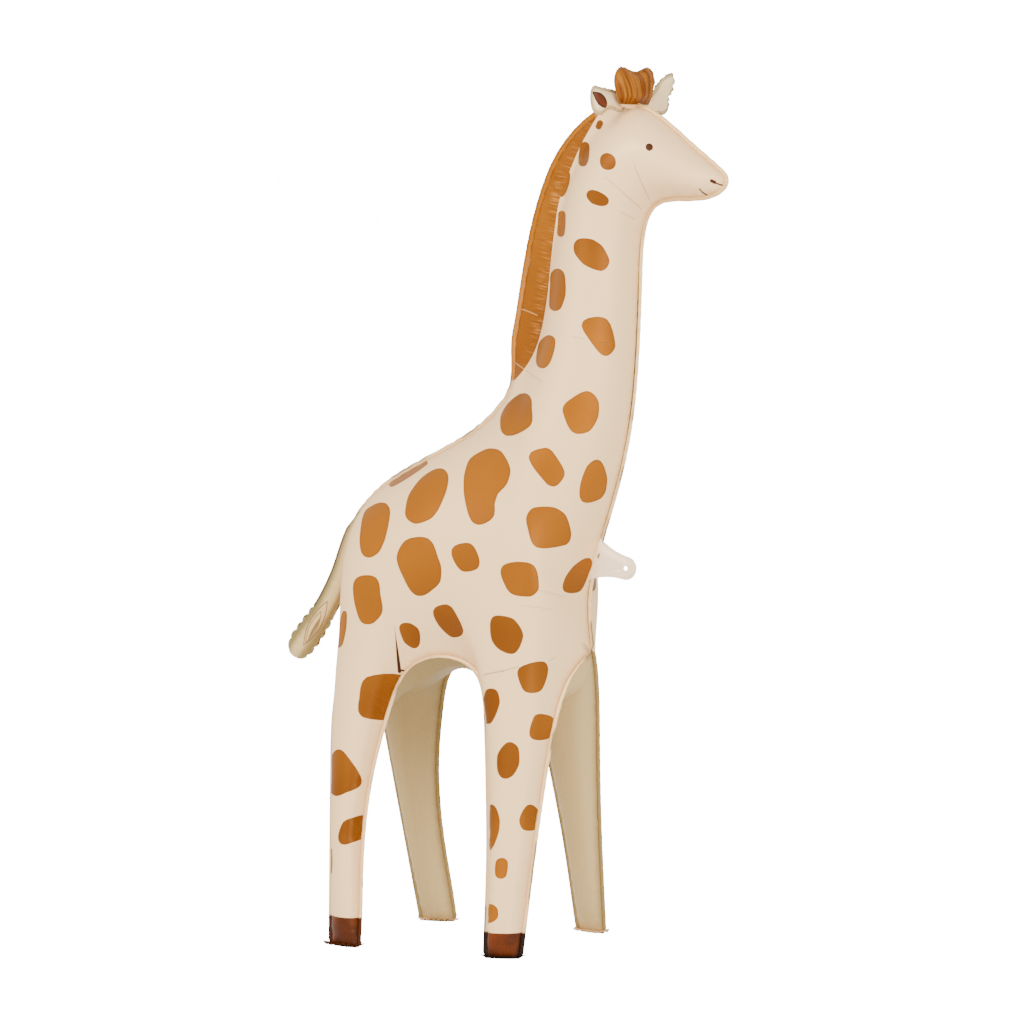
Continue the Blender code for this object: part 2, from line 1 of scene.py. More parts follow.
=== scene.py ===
# %% [markdown]
# # Giraffe foil balloon
#
# A standing balloon, 1.20 m tall, made of printed foil. Two printed outer panels are welded along the back,
# the head and the chest. Two plain panels make the belly and the inner faces of the legs.
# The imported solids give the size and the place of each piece, and this notebook makes their visible surface.

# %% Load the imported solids
import math
import bmesh
import bpy
import numpy as np
from mathutils import Matrix, Vector, kdtree, noise
from mathutils.geometry import interpolate_bezier


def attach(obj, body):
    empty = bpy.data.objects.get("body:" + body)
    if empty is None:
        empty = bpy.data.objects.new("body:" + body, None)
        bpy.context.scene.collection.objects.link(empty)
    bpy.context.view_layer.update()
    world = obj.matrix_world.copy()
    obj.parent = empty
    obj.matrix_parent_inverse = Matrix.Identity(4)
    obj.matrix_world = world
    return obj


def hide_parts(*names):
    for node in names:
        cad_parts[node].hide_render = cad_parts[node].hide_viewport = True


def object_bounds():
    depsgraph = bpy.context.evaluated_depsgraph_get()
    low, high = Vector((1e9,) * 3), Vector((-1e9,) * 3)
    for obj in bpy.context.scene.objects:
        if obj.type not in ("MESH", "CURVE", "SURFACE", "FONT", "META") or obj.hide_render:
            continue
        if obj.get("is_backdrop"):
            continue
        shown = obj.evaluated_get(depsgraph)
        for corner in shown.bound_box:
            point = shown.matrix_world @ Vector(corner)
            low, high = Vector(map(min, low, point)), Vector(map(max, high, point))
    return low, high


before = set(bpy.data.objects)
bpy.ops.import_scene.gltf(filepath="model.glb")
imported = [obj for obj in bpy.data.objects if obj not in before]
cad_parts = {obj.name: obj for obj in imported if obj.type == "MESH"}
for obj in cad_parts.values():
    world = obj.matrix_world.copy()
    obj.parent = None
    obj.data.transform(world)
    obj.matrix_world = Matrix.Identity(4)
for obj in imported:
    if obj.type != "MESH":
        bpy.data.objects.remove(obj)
cad_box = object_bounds()
print("solids:", ", ".join(sorted(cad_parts)))

# %% [markdown]
# ## Sizes
#
# The figure's places are counted in shares of its height, as in the solids.
# Every place along a line is read from a smooth curve through a few keyed values. Sculpting could give the
# same form, but then no width or line could be changed later.

# %% Sizes and lines of the figure
HEIGHT = 1.20
FIGURE_TOP = 100.3
SHARE = HEIGHT / FIGURE_TOP
MIDDLE_X = 0.01655
BORDER = 0.006
FOIL = 0.0008
SMALL_BORDER = 0.004
LEVELS = 3
HIND_LEG, FORE_LEG, CHEST_POINT, NOSE = 1, 6, 9, 25
SIDE_ROWS, ARCH_ROW, CREASE_ROW, BELLY_ROW = 6, 5, 6, 7

BACK_LINE = {
    0: (-20.3, 49.0), 2: (-16.6, 52.6), 4: (-11.2, 55.5), 6: (-5.9, 58.1), 8: (-1.8, 61.2),
    9: (0.4, 63.8), 10: (2.1, 66.2), 12: (3.9, 70.2), 14: (5.0, 75.8), 16: (6.1, 82.1),
    18: (8.3, 89.1), 19: (10.7, 92.6), 20: (13.5, 95.3), 21: (16.9, 95.5), 22: (20.0, 93.1),
    23: (22.7, 90.7), 24: (25.1, 88.8), 25: (26.3, 87.7),
}
FRONT_LINE = {
    9: (10.1, 34.1), 10: (9.2, 40.2), 11: (11.3, 47.0), 12: (13.6, 53.8), 13: (14.9, 59.8),
    14: (15.5, 65.2), 16: (16.0, 75.6), 17: (16.1, 79.8), 18: (16.6, 82.9), 19: (17.8, 84.8),
    20: (19.4, 85.3), 22: (22.2, 85.3), 24: (25.0, 85.5), 25: (26.1, 86.1),
}
ARCH_LINE = {
    0: (-20.4, 0.0, 34.6), 1: (-20.1, 4.0, 31.8), 2: (-16.4, 5.6, 31.6), 3: (-11.8, 5.6, 31.2),
    4: (-8.2, 6.2, 33.4), 5: (-4.2, 6.2, 33.7), 6: (-0.6, 5.6, 31.8), 7: (5.0, 5.6, 31.4),
    8: (8.8, 3.6, 31.6), 9: (10.1, 0.0, 34.1),
}
CREASE_LINE = {
    1: (-19.2, 1.6, 29.6), 2: (-15.8, 1.9, 28.0), 3: (-12.0, 1.8, 28.6), 4: (-8.2, 2.9, 31.8),
    5: (-4.0, 2.9, 32.1), 6: (-0.2, 1.8, 28.8), 7: (5.0, 1.9, 28.0), 8: (8.8, 1.6, 29.4),
}
BELLY_DROP = 0.5
# Shares across the flank and how far it bulges there; turns round the neck
FLANK_PROFILE = ((0.0, 0.0), (0.065, 0.47), (0.27, 0.90), (0.55, 1.03), (0.80, 0.96))
NECK_TURNS, NECK_SWELL = (0.0, 30.0, 66.0, 104.0, 144.0, 180.0), 1.06
HALF_WIDTH = {
    0: 0.0, 1: 7.3, 2: 8.8, 4: 9.2, 6: 9.2, 8: 8.8, 9: 8.4, 11: 7.4, 13: 6.3, 15: 5.7,
    17: 5.5, 19: 5.5, 20: 5.2, 21: 4.7, 22: 3.9, 23: 3.1, 24: 1.9, 25: 0.0,
}
RUMP_ROUNDING = {0: -0.9, 1: 0.2}
NOSE_BOW = 0.5
MANE_DEPTH = {
    9: 0.0, 10: 2.0, 11: 3.1, 12: 3.3, 14: 3.4, 16: 3.2, 17: 3.0, 18: 2.8, 19: 2.2, 20: 1.0, 21: 0.0,
}
MANE_HALF_THICKNESS = 0.75
LEG_EDGES = {
    "hind": ({0: -17.6, 14: -19.0, 22: -19.8, 32: -20.8},
             {0: -13.9, 3: -14.0, 12: -14.8, 19: -14.6, 25: -13.4, 30: -11.9}),
    "fore": ({0: 2.9, 14: 2.0, 20: 1.2, 27: 0.3},
             {0: 6.4, 12: 6.9, 21: 7.5, 27: 8.1, 31: 8.9}),
}
LEG_SPREAD = (11.4, 0.196)
LEG_ROUNDNESS, LEG_SWELL = (0.9, 0.8), 1.05
LEG_TURN = {"hind": 0.4, "fore": -0.5}
LEG_HALF_THICKNESS = {0: 0.55, 1.2: 1.2, 3.3: 1.7, 8: 2.0, 15: 2.3, 22: 2.9, 27: 3.3}
LEG_HEIGHTS = (26.5, 19.5, 11.5, 4.5, 1.5, 0.0)


def through(keys, at):
    """Value at a place on the smooth curve that passes through the keyed values."""
    places = sorted(keys)
    values = [Vector(keys[p]) if isinstance(keys[p], tuple) else Vector((keys[p], 0.0)) for p in places]
    at = min(max(at, places[0]), places[-1])
    i = max(k for k in range(len(places) - 1) if places[k] <= at)
    slopes = [(values[k + 1] - values[k]) / (places[k + 1] - places[k]) for k in range(len(places) - 1)]

    def tangent(k):
        return (slopes[max(k - 1, 0)] + slopes[min(k, len(slopes) - 1)]) / 2.0

    step = places[i + 1] - places[i]
    t = (at - places[i]) / step
    value = (values[i] * (2 * t**3 - 3 * t**2 + 1) + tangent(i) * step * (t**3 - 2 * t**2 + t)
             + values[i + 1] * (3 * t**2 - 2 * t**3) + tangent(i + 1) * step * (t**3 - t**2))
    return value if isinstance(keys[places[0]], tuple) else value.x


def placed(x, y, z):
    """A place of the figure, in metres."""
    return Vector((x * SHARE + MIDDLE_X, y * SHARE, z * SHARE))


# %% [markdown]
# ## Camera
#
# The camera stands in front of the balloon's right side, 5 m away, with a long lens. A wide lens close by
# would make the near legs look too long and the head too small.

# %% Camera
CAMERA_AZIMUTH = math.radians(27.05)
CAMERA_PITCH = math.radians(1.7)
CAMERA_DISTANCE = 5.0
CAMERA_LENS = 127.65
CAMERA_TARGET = Vector((MIDDLE_X, 0.0, 0.5946))


def look(item, place, target):
    item.location = place
    item.rotation_mode = "QUATERNION"
    item.rotation_quaternion = (target - place).to_track_quat("-Z", "Y")


def area_light(name, place, target, size, power, colour=(1.0, 1.0, 1.0)):
    data = bpy.data.lights.new(name, "AREA")
    data.shape = "DISK"
    data.size = size
    data.energy = power
    data.color = colour
    lamp = bpy.data.objects.new(name, data)
    bpy.context.scene.collection.objects.link(lamp)
    look(lamp, Vector(place), Vector(target))


ahead = Vector((-math.sin(CAMERA_AZIMUTH) * math.cos(CAMERA_PITCH),
                math.cos(CAMERA_AZIMUTH) * math.cos(CAMERA_PITCH), -math.sin(CAMERA_PITCH)))
sideways = Vector((math.cos(CAMERA_AZIMUTH), math.sin(CAMERA_AZIMUTH), 0.0))
upward = sideways.cross(ahead)
camera = bpy.data.objects.new("camera", bpy.data.cameras.new("camera"))
camera.data.lens = CAMERA_LENS
camera.data.sensor_width = 36.0
bpy.context.scene.collection.objects.link(camera)
look(camera, CAMERA_TARGET - ahead * CAMERA_DISTANCE, CAMERA_TARGET)
bpy.context.scene.camera = camera

# The picture is counted in 1024 steps each way, right and down from its corner
PICTURE_MIDDLE = 512.0
FOCAL = 2.0 * PICTURE_MIDDLE * CAMERA_LENS / 36.0
STEP = CAMERA_DISTANCE / FOCAL


def seen(points):
    """Places of points in the camera's picture; the far side is mirrored, as the print is."""
    offset = points * (1.0, -1.0, 1.0) * np.where(points[:, 1:2] < 0.0, (1.0, -1.0, 1.0), 1.0)
    offset = offset - np.array(CAMERA_TARGET - ahead * CAMERA_DISTANCE)
    depth, right, up = (offset @ np.array(axis) for axis in (ahead, sideways, upward))
    return PICTURE_MIDDLE + FOCAL * right / depth, PICTURE_MIDDLE - FOCAL * up / depth


print("camera lens", CAMERA_LENS, "mm at", CAMERA_DISTANCE, "m")

# %% [markdown]
# ## Light and floor
#
# One large lamp stands on the left and a weaker one on the right, so the foil has soft, broad sheens. The
# world and the floor glow for the camera alone: the backdrop is pure white, and doesn't wash out the print.


# %% Light and floor
def camera_only(tree, lit, seen):
    """A value that is one thing for the light on the balloon and another for what the camera sees."""
    rays = tree.nodes.new("ShaderNodeLightPath")
    blend = tree.nodes.new("ShaderNodeMapRange")
    blend.inputs["To Min"].default_value = lit
    blend.inputs["To Max"].default_value = seen
    tree.links.new(rays.outputs["Is Camera Ray"], blend.inputs["Value"])
    return blend.outputs["Result"]


WORLD_LIGHT, WHITE_SEEN, FLOOR_GLOW = 1.3, 16.0, 15.0
world = bpy.data.worlds.new("studio")
world.use_nodes = True
backdrop = world.node_tree.nodes["Background"]
backdrop.inputs["Color"].default_value = (1.0, 1.0, 1.0, 1.0)
world.node_tree.links.new(camera_only(world.node_tree, WORLD_LIGHT, WHITE_SEEN), backdrop.inputs["Strength"])
bpy.context.scene.world = world
area_light("key", (-0.4, -3.4, 2.9), (0.0, 0.0, 0.6), 2.2, 215.0)
area_light("fill", (3.2, -1.8, 1.6), (0.0, 0.0, 0.6), 2.0, 105.0)

bpy.ops.mesh.primitive_plane_add(size=60.0, location=(0.0, 0.0, 0.0))
floor = bpy.context.object
floor.name = "floor"
pale = bpy.data.materials.new("pale floor")
pale.use_nodes = True
paper = pale.node_tree.nodes["Principled BSDF"]
paper.inputs["Base Color"].default_value = (0.92, 0.92, 0.92, 1.0)
paper.inputs["Roughness"].default_value = 0.9
paper.inputs["Emission Strength"].default_value = FLOOR_GLOW
pale.node_tree.links.new(camera_only(pale.node_tree, 0.0, 1.0), paper.inputs["Emission Color"])
floor.data.materials.append(pale)
floor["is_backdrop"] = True
print("world light", WORLD_LIGHT, "on the foil,", WHITE_SEEN, "for the camera")

# %% [markdown]
# ## Shader arithmetic
#
# A small class lets shader sockets be added and multiplied like numbers. Each expression adds its nodes,
# and a line of arithmetic is easier to read than a long list of nodes and links.


# %% Shader arithmetic
SPECULAR, WARM_SHEEN = 0.22, (1.0, 0.84, 0.60)


class Value:
    """A socket of a material's node tree, with operators that add math nodes."""

    def __init__(self, paint, socket):
        self.paint = paint
        self.socket = socket

    def _join(self, kind, *others):
        return self.paint.math(kind, self, *others)

    def __add__(self, other):
        return self._join("ADD", other)

    def __radd__(self, other):
        return self._join("ADD", other)

    def __sub__(self, other):
        return self._join("SUBTRACT", other)

    def __rsub__(self, other):
        return self.paint.math("SUBTRACT", other, self)

    def __mul__(self, other):
        return self._join("MULTIPLY", other)

    def __rmul__(self, other):
        return self._join("MULTIPLY", other)

    def __truediv__(self, other):
        return self._join("DIVIDE", other)

    def __neg__(self):
        return self._join("MULTIPLY", -1.0)

    def __pow__(self, other):
        return self._join("POWER", other)

    def below(self, edge, soft):
        """1 where this is under the edge, 0 above it, with a soft step of the given width."""
        return self.paint.span(self, edge - soft / 2.0, edge + soft / 2.0, 1.0, 0.0)


class Paint:
    """A material and its node tree."""

    def __init__(self, name):
        self.material = bpy.data.materials.new(name)
        self.material.use_nodes = True
        self.tree = self.material.node_tree
        self.shader = self.tree.nodes["Principled BSDF"]
        place = self.node("ShaderNodeTexCoord").outputs["Object"]
        self.place = Value(self, place)
        split = self.node("ShaderNodeSeparateXYZ", Vector=self.place)
        self.x, self.y, self.z = (Value(self, out) for out in split.outputs)

    def seen(self):
        """Place in the camera's picture, with the far side mirrored."""
        eye = camera.location
        offset = (self.x - eye.x, -self.math("ABSOLUTE", self.y) - eye.y, self.z - eye.z)
        depth, right, up = (offset[0] * axis.x + offset[1] * axis.y + offset[2] * axis.z
                            for axis in (ahead, sideways, upward))
        return FOCAL * right / depth + PICTURE_MIDDLE, PICTURE_MIDDLE - FOCAL * up / depth

    def node(self, kind, **inputs):
        made = self.tree.nodes.new(kind)
        for key, value in inputs.items():
            self.feed(made.inputs[key.replace("_", " ")], value)
        return made

    def feed(self, socket, value):
        if isinstance(value, Value):
            self.tree.links.new(value.socket, socket)
        elif isinstance(value, bpy.types.NodeSocket):
            self.tree.links.new(value, socket)
        else:
            socket.default_value = value

    def math(self, kind, *values):
        made = self.tree.nodes.new("ShaderNodeMath")
        made.operation = kind
        for socket, value in zip(made.inputs, values):
            self.feed(socket, value)
        return Value(self, made.outputs[0])

    def span(self, value, low, high, start, end):
        """Smooth step: start below the low value, end above the high one."""
        made = self.node("ShaderNodeMapRange", Value=value, From_Min=low, From_Max=high, To_Min=start,
                         To_Max=end)
        made.interpolation_type = "SMOOTHSTEP"
        return Value(self, made.outputs["Result"])

    def attribute(self, name):
        made = self.tree.nodes.new("ShaderNodeAttribute")
        made.attribute_name = name
        return Value(self, made.outputs["Fac"])

    def combine(self, x, y, z):
        return Value(self, self.node("ShaderNodeCombineXYZ", X=x, Y=y, Z=z).outputs[0])

    def grain(self, scale, detail=2.0, place=None):
        made = self.node("ShaderNodeTexNoise", Scale=scale, Detail=detail, Vector=place or self.place)
        return Value(self, made.outputs["Fac"])

    def mix(self, share, low, high):
        made = self.tree.nodes.new("ShaderNodeMix")
        made.data_type = "RGBA"
        self.feed(made.inputs["Factor"], share)
        for name, colour in (("A", low), ("B", high)):
            socket = next(s for s in made.inputs if s.name == name and s.type == "RGBA")
            self.feed(socket, colour if isinstance(colour, Value) else (*colour, 1.0))
        return Value(self, next(s for s in made.outputs if s.type == "RGBA"))

    def finish(self, colour, roughness, metallic, height):
        """Feed the shader; the height is in millimetres."""
        self.feed(self.shader.inputs["Base Color"], colour)
        self.feed(self.shader.inputs["Roughness"], roughness)
        self.feed(self.shader.inputs["Metallic"], metallic)
        self.shader.inputs["Specular IOR Level"].default_value = SPECULAR
        self.shader.inputs["Specular Tint"].default_value = (*WARM_SHEEN, 1.0)
        bump = self.node("ShaderNodeBump", Height=height, Distance=0.001)
        self.feed(self.shader.inputs["Normal"], bump.outputs["Normal"])
        return self.material


def srgb(*levels):
    """Linear colour of 8-bit display levels."""
    return tuple(((c / 255.0 + 0.055) / 1.055) ** 2.4 for c in levels)


# %% [markdown]
# ## Colours
#
# Each colour is named for its finish, or for the painted light or shade that it stands for. They are
# deeper than the foil looks in the picture, because the view transform lightens and greys bright colours.

# %% Colours of the foil
CREAM = srgb(240, 197, 142)
# Cream in painted shade, for the skin beside the seams and for the welded borders
SHADE_CREAM = srgb(219, 174, 114)
PLAIN_LIGHT = srgb(198, 167, 112)
# Painted shade of the plain foil, under the belly and beside the seams
PLAIN_SHADE = srgb(154, 129, 80)
SPOT = srgb(112, 59, 0)
# Painted sheen: a lighter copy of the spot brown, mixed into the spots and the mane at random
SPOT_LIGHT = srgb(149, 85, 2)
MANE = srgb(120, 62, 0)
MANE_LIGHT = srgb(186, 120, 54)
MANE_LINE = srgb(222, 168, 108)
HOOF = srgb(66, 24, 2)
# Painted highlight on the hooves
HOOF_HIGHLIGHT = srgb(100, 40, 2)
DARK = srgb(24, 8, 2)
# Painted shade in folds and at the roots of welds
KHAKI_SHADE = srgb(110, 92, 44)
# Painted shade on the inward faces of the welded borders
INNER_SHADE = srgb(134, 112, 62)
# Painted shade at the front of the neck's weld, in crinkles and where the tail meets the rump
OLIVE_SHADE = srgb(80, 68, 32)
# Painted shadow in the deep fold in front of the hind leg
FOLD_SHADOW = srgb(52, 22, 8)
print("cream", [round(level, 3) for level in CREAM], "brown", [round(level, 3) for level in SPOT])

# %% [markdown]
# ## The print
#
# The outer panels carry brown spots, a face, hooves and the mane's colour. The print is laid out as the
# camera sees it, and mirrored on the far side. A spot is a small polygon grown by a radius. A picture wrapped
# round the balloon could hold the print too, but a distance to each edge stays sharp at any size.

# %% Spots of the print
# Radius and corners of each spot, in steps of the picture, from the head down to the feet
SPOTS = (
    (3.2, ((600, 123.3), (598.7, 126.3))),
    (4.5, ((585, 146.3), (583.6, 152), (582.8, 162), (584.6, 157))),
    (6.5, ((606.5, 159.5), (609, 160.5), (609.3, 163.3), (606.8, 163.2))),
    (4.5, ((591, 194.5), (599, 196.5), (604.3, 201.3), (594.5, 199.8))),
    (3, ((567, 174), (566, 184), (561.5, 194), (558, 190), (562, 176))),
    (3.7, ((561.9, 214.3), (561.9, 226), (560.8, 233.2), (561.5, 222))),
    (7, ((581, 245.5), (590, 246), (597, 250.5), (602.5, 261), (600.5, 264), (588, 259), (581, 250.5))),
    (6, ((557.5, 274.5), (559.8, 285), (559.5, 295), (556.3, 304.5), (555, 305), (556, 285))),
    (5.5, ((587.5, 324.5), (603.5, 323.5), (610, 345), (606, 350.5), (601.5, 347), (592, 334))),
    (6, ((549.5, 341.3), (546.5, 356), (542.5, 362.5), (542, 358), (544.5, 345))),
    (6, ((524.3, 399), (526, 410), (525.7, 422), (508, 430), (506.3, 418), (512, 407.5))),
    (8, ((586.5, 399), (591, 404), (590.5, 415), (585, 424.5), (577, 425.5), (570.5, 410), (573, 407))),
    (5.5, ((534.2, 457.5), (545, 453.2), (548.5, 455), (559.3, 473), (554, 481), (550.5, 480))),
    (4.5, ((597.5, 464.2), (602.8, 478), (601.5, 490), (597.5, 495.5), (585, 498), (584.7, 485),
           (590.5, 469))),
    (8, ((489, 456.5), (496, 457.5), (502.5, 470), (500, 480), (491, 490), (486.8, 503), (486.5, 513),
         (478, 516.5), (472, 495), (471.7, 478), (476, 464))),
    (7, ((440.5, 475.3), (440, 488), (433, 505), (427, 513), (416, 516.8), (412, 513.5), (415, 498),
         (426, 483))),
    (2.5, ((391.5, 484.5), (409, 474.5), (425, 462.5), (402, 477))),
    (6.5, ((382.7, 509), (382.8, 520), (379, 537), (374, 548), (368, 551), (366, 540), (368, 522),
           (371, 514))),
    (7, ((536, 514.2), (552, 514), (560, 519), (564.3, 533), (563, 538.5), (539.5, 541), (535, 529),
         (533, 519))),
    (9, ((411, 547.5), (424, 546.5), (429.5, 560), (432.3, 568), (432, 578), (428, 582), (419.5, 587),
         (411, 573), (405.5, 558))),
    (5, ((456.3, 551.3), (468.3, 548), (474.3, 559), (474, 565), (463.5, 566.3))),
    (6, ((507, 570), (517, 567.7), (530, 570), (533, 587), (529, 590.7), (514, 588.5), (507, 575))),
    (3.5, ((588.3, 561.3), (586, 571.5), (578.3, 588.3), (566.5, 588.8), (568.3, 579), (576, 568.5))),
    (7, ((361, 583.3), (371.5, 583), (373.5, 595), (375.7, 610), (370, 617), (366, 617), (361.5, 603),
         (360, 592))),
    (5, ((438, 612), (445.5, 609.2), (449, 611.5), (458.5, 631), (453, 632.4), (443, 623))),
    (4, ((403.3, 627.3), (409, 627), (415, 631), (416.3, 636), (415, 644.3), (407.5, 640), (404.5, 633))),
    (5, ((495.7, 621), (501, 620.6), (511, 623.3), (518.3, 635), (512.5, 648.8), (502, 645.5), (496.5, 639),
         (495, 630))),
    (2.2, ((344.2, 613), (344.4, 626), (341, 643), (338.4, 645.5), (340, 636))),
    (7, ((370, 683.3), (405, 684), (398, 711), (366, 711), (366, 700))),
    (5, ((338.5, 754.3), (336, 758), (335.5, 790.5), (345, 787.8), (356.8, 782), (352.5, 771.5), (341, 756))),
    (4.5, ((346.5, 825), (352, 822.5), (366, 820), (364, 832.5), (350, 838.7), (343.2, 840), (343, 834))),
    (1.8, ((330.2, 850), (330.8, 862), (330, 873))),
    (5, ((522.7, 671.5), (542.3, 666.4), (542.5, 675), (537.5, 687), (528, 687.6), (524, 680))),
    (4, ((489, 693), (494, 693.3), (495.8, 703), (488.5, 720), (485, 715))),
    (5, ((538, 719.5), (541, 718.8), (549.7, 721.5), (548, 733), (541, 735.3), (534.3, 734))),
    (6, ((509.5, 748), (513, 750.5), (513.3, 763), (509, 771), (505, 772.8), (503, 768), (503.3, 756))),
    (4, ((491.5, 808.5), (495.8, 820), (494.5, 833), (486, 848), (484, 830), (488, 815))),
    (5, ((529.8, 809.5), (534.5, 813.5), (534.5, 824.5), (526, 825.5), (524.2, 820))),
    (5, ((500.5, 863.3), (503, 863.3), (501.8, 873.5), (500, 873.5))),
    (4.5, ((490, 908.5), (493.3, 910.5), (493.5, 916), (488, 918.5), (486, 912))),
)
# Bulge of a spot's sides between its corners, and how far beside a spot its distance is worked out
SPOT_BOW, SPOT_REACH = 0.65, 12.0
# Front edge of the mane's colour: steps to the right, keyed by steps down
MANE_EDGE = {
    110: 601.0, 125: 592.0, 145: 581.0, 172: 569.4, 198: 560.0, 231: 554.5, 270: 550.0, 300: 546.8,
    335: 540.2, 351: 534.7, 362: 529.0, 374: 520.4, 383: 512.0,
}


# %% Distance to the spots and to the mane
def rounded(corners):
    """Closed curve through corners, as short straight pieces."""
    ring = []
    count = len(corners)
    for k in range(count):
        before, start, end, after = (Vector(corners[(k + j) % count]) for j in (-1, 0, 1, 2))
        handle = (end - start).length * SPOT_BOW / 3.0
        leaving = start + (end - before).normalized() * handle
        arriving = end - (after - start).normalized() * handle
        ring += [tuple(p) for p in interpolate_bezier(start, leaving, arriving, end, 6)[:-1]]
    return ring


def polygon_distance(x, y, corners):
    """Distance outside a polygon, negative inside, for places in the picture."""
    nearest = np.full(len(x), 1e6)
    inside = np.zeros(len(x), dtype=bool)
    for (ax, ay), (bx, by) in zip(corners, corners[1:] + corners[:1]):
        t = ((x - ax) * (bx - ax) + (y - ay) * (by - ay)) / ((bx - ax) ** 2 + (by - ay) ** 2)
        t = np.clip(t, 0.0, 1.0)
        nearest = np.minimum(nearest, np.hypot(x - ax - t * (bx - ax), y - ay - t * (by - ay)))
        if by != ay:
            crosses = (ay > y) != (by > y)
            inside ^= crosses & (x < ax + (bx - ax) * (y - ay) / (by - ay))
    return np.where(inside, -nearest, nearest)


def spot_field(points):
    """Distance in metres to the nearest spot's edge, negative inside and cut off far away."""
    x, y = seen(points)
    field = np.full(len(x), SPOT_REACH)
    for radius, corners in SPOTS:
        ring = rounded(corners)
        low = np.min(ring, axis=0) - radius - SPOT_REACH
        high = np.max(ring, axis=0) + radius + SPOT_REACH
        near = (x > low[0]) & (x < high[0]) & (y > low[1]) & (y < high[1])
        field[near] = np.minimum(field[near], polygon_distance(x[near], y[near], ring) - radius)
    return STEP * field


def mane_field(points):
    """Distance in metres behind the front edge of the mane's colour, negative in front of it."""
    x, y = seen(points)
    heights = np.linspace(min(MANE_EDGE), max(MANE_EDGE), 90)
    edge = np.interp(y, heights, [through(MANE_EDGE, h) for h in heights])
    return STEP * np.minimum(edge - x, max(MANE_EDGE) - y)


print(len(SPOTS), "spots")

# %% [markdown]
# ## The skin
#
# The real balloon is four flat panels that are welded and blown up. A cloth simulation could blow them up,
# but it is hard to hold to a given outline. So half of the body is a cage of quads: columns run from the rump
# to the nose, rows from the back round to the middle of the belly, and each leg grows out of the flank in
# rings. The welded seams are creased edges, and subdivision rounds all the rest.


# %% A point of the cage
def body_point(column, row):
    back = through(BACK_LINE, column)
    width = through(HALF_WIDTH, column)
    if row == BELLY_ROW:
        x, _, z = through(CREASE_LINE, column)
        return placed(x, 0.0, z - BELLY_DROP)
    if row == CREASE_ROW:
        x, y, z = through(CREASE_LINE, column)
        return placed(x, -y, z)
    if column <= CHEST_POINT:
        low = through(ARCH_LINE, column)
        if row == ARCH_ROW:
            return placed(low.x, -low.y, low.z)
        along, bulge = FLANK_PROFILE[row]
        rounding = math.sin(math.pi * along) * RUMP_ROUNDING.get(column, 0.0)
        return placed(back.x + (low.x - back.x) * along + rounding, -bulge * width,
                      back.y + (low.z - back.y) * along)
    front = through(FRONT_LINE, column)
    angle = math.radians(NECK_TURNS[row])
    along, bulge = (1.0 - math.cos(angle)) / 2.0, math.sin(angle) * NECK_SWELL
    x = back.x + (front.x - back.x) * along
    z = back.y + (front.y - back.y) * along
    if column == NOSE:
        return placed(x + math.sin(math.pi * along) * NOSE_BOW, 0.0, z)
    point = Vector((x, -bulge * width, z))
    depth = through(MANE_DEPTH, column)
    if depth > 0.0 and row <= 1:
        forward = through(BACK_LINE, column + 0.5) - through(BACK_LINE, column - 0.5)
        out = Vector((-forward.y, 0.0, forward.x)).normalized()
        root = Vector((back.x, 0.0, back.y))
        if row == 0:
            point = root + out * depth
        else:
            point = point.lerp(root + Vector((0.0, -MANE_HALF_THICKNESS, 0.0)), min(depth, 1.0))
    return placed(*point)


# %% Ring round a leg
def leg_ring(leg, height):
    rear_keys, front_keys = LEG_EDGES[leg]
    rear, front = through(rear_keys, height), through(front_keys, height)
    seam_y = LEG_SPREAD[0] - LEG_SPREAD[1] * height
    thick = through(LEG_HALF_THICKNESS, height)
    ring = []
    for k in range(8):
        angle = math.pi * k / 4.0
        forward = -math.copysign(abs(math.cos(angle)) ** LEG_ROUNDNESS[0], math.cos(angle))
        x = (rear + front) / 2.0 + (front - rear) / 2.0 * forward
        y = (seam_y + LEG_TURN[leg] * forward
             + thick * math.copysign(abs(math.sin(angle)) ** LEG_ROUNDNESS[1], math.sin(angle)) * LEG_SWELL)
        ring.append(placed(x, -y, height))
    return ring


# %% Seams after subdivision
def merge_chain(points, levels):
    """Places of a creased seam after the given rounds of subdivision."""
    for _ in range(levels):
        finer = [points[0]]
        for k in range(len(points) - 1):
            if k > 0:
                finer.append((points[k - 1] + points[k] * 6.0 + points[k + 1]) / 8.0)
            finer.append((points[k] + points[k + 1]) / 2.0)
        finer.append(points[-1])
        points = finer
    return points


def merge_loop(points, levels):
    """The same for a closed seam."""
    for _ in range(levels):
        finer = []
        for k, p in enumerate(points):
            after = points[(k + 1) % len(points)]
            finer.append((points[k - 1] + p * 6.0 + after) / 8.0)
            finer.append((p + after) / 2.0)
        points = finer
    return points


# %% Cage of the body
PRINTED, PLAIN = 0, 1


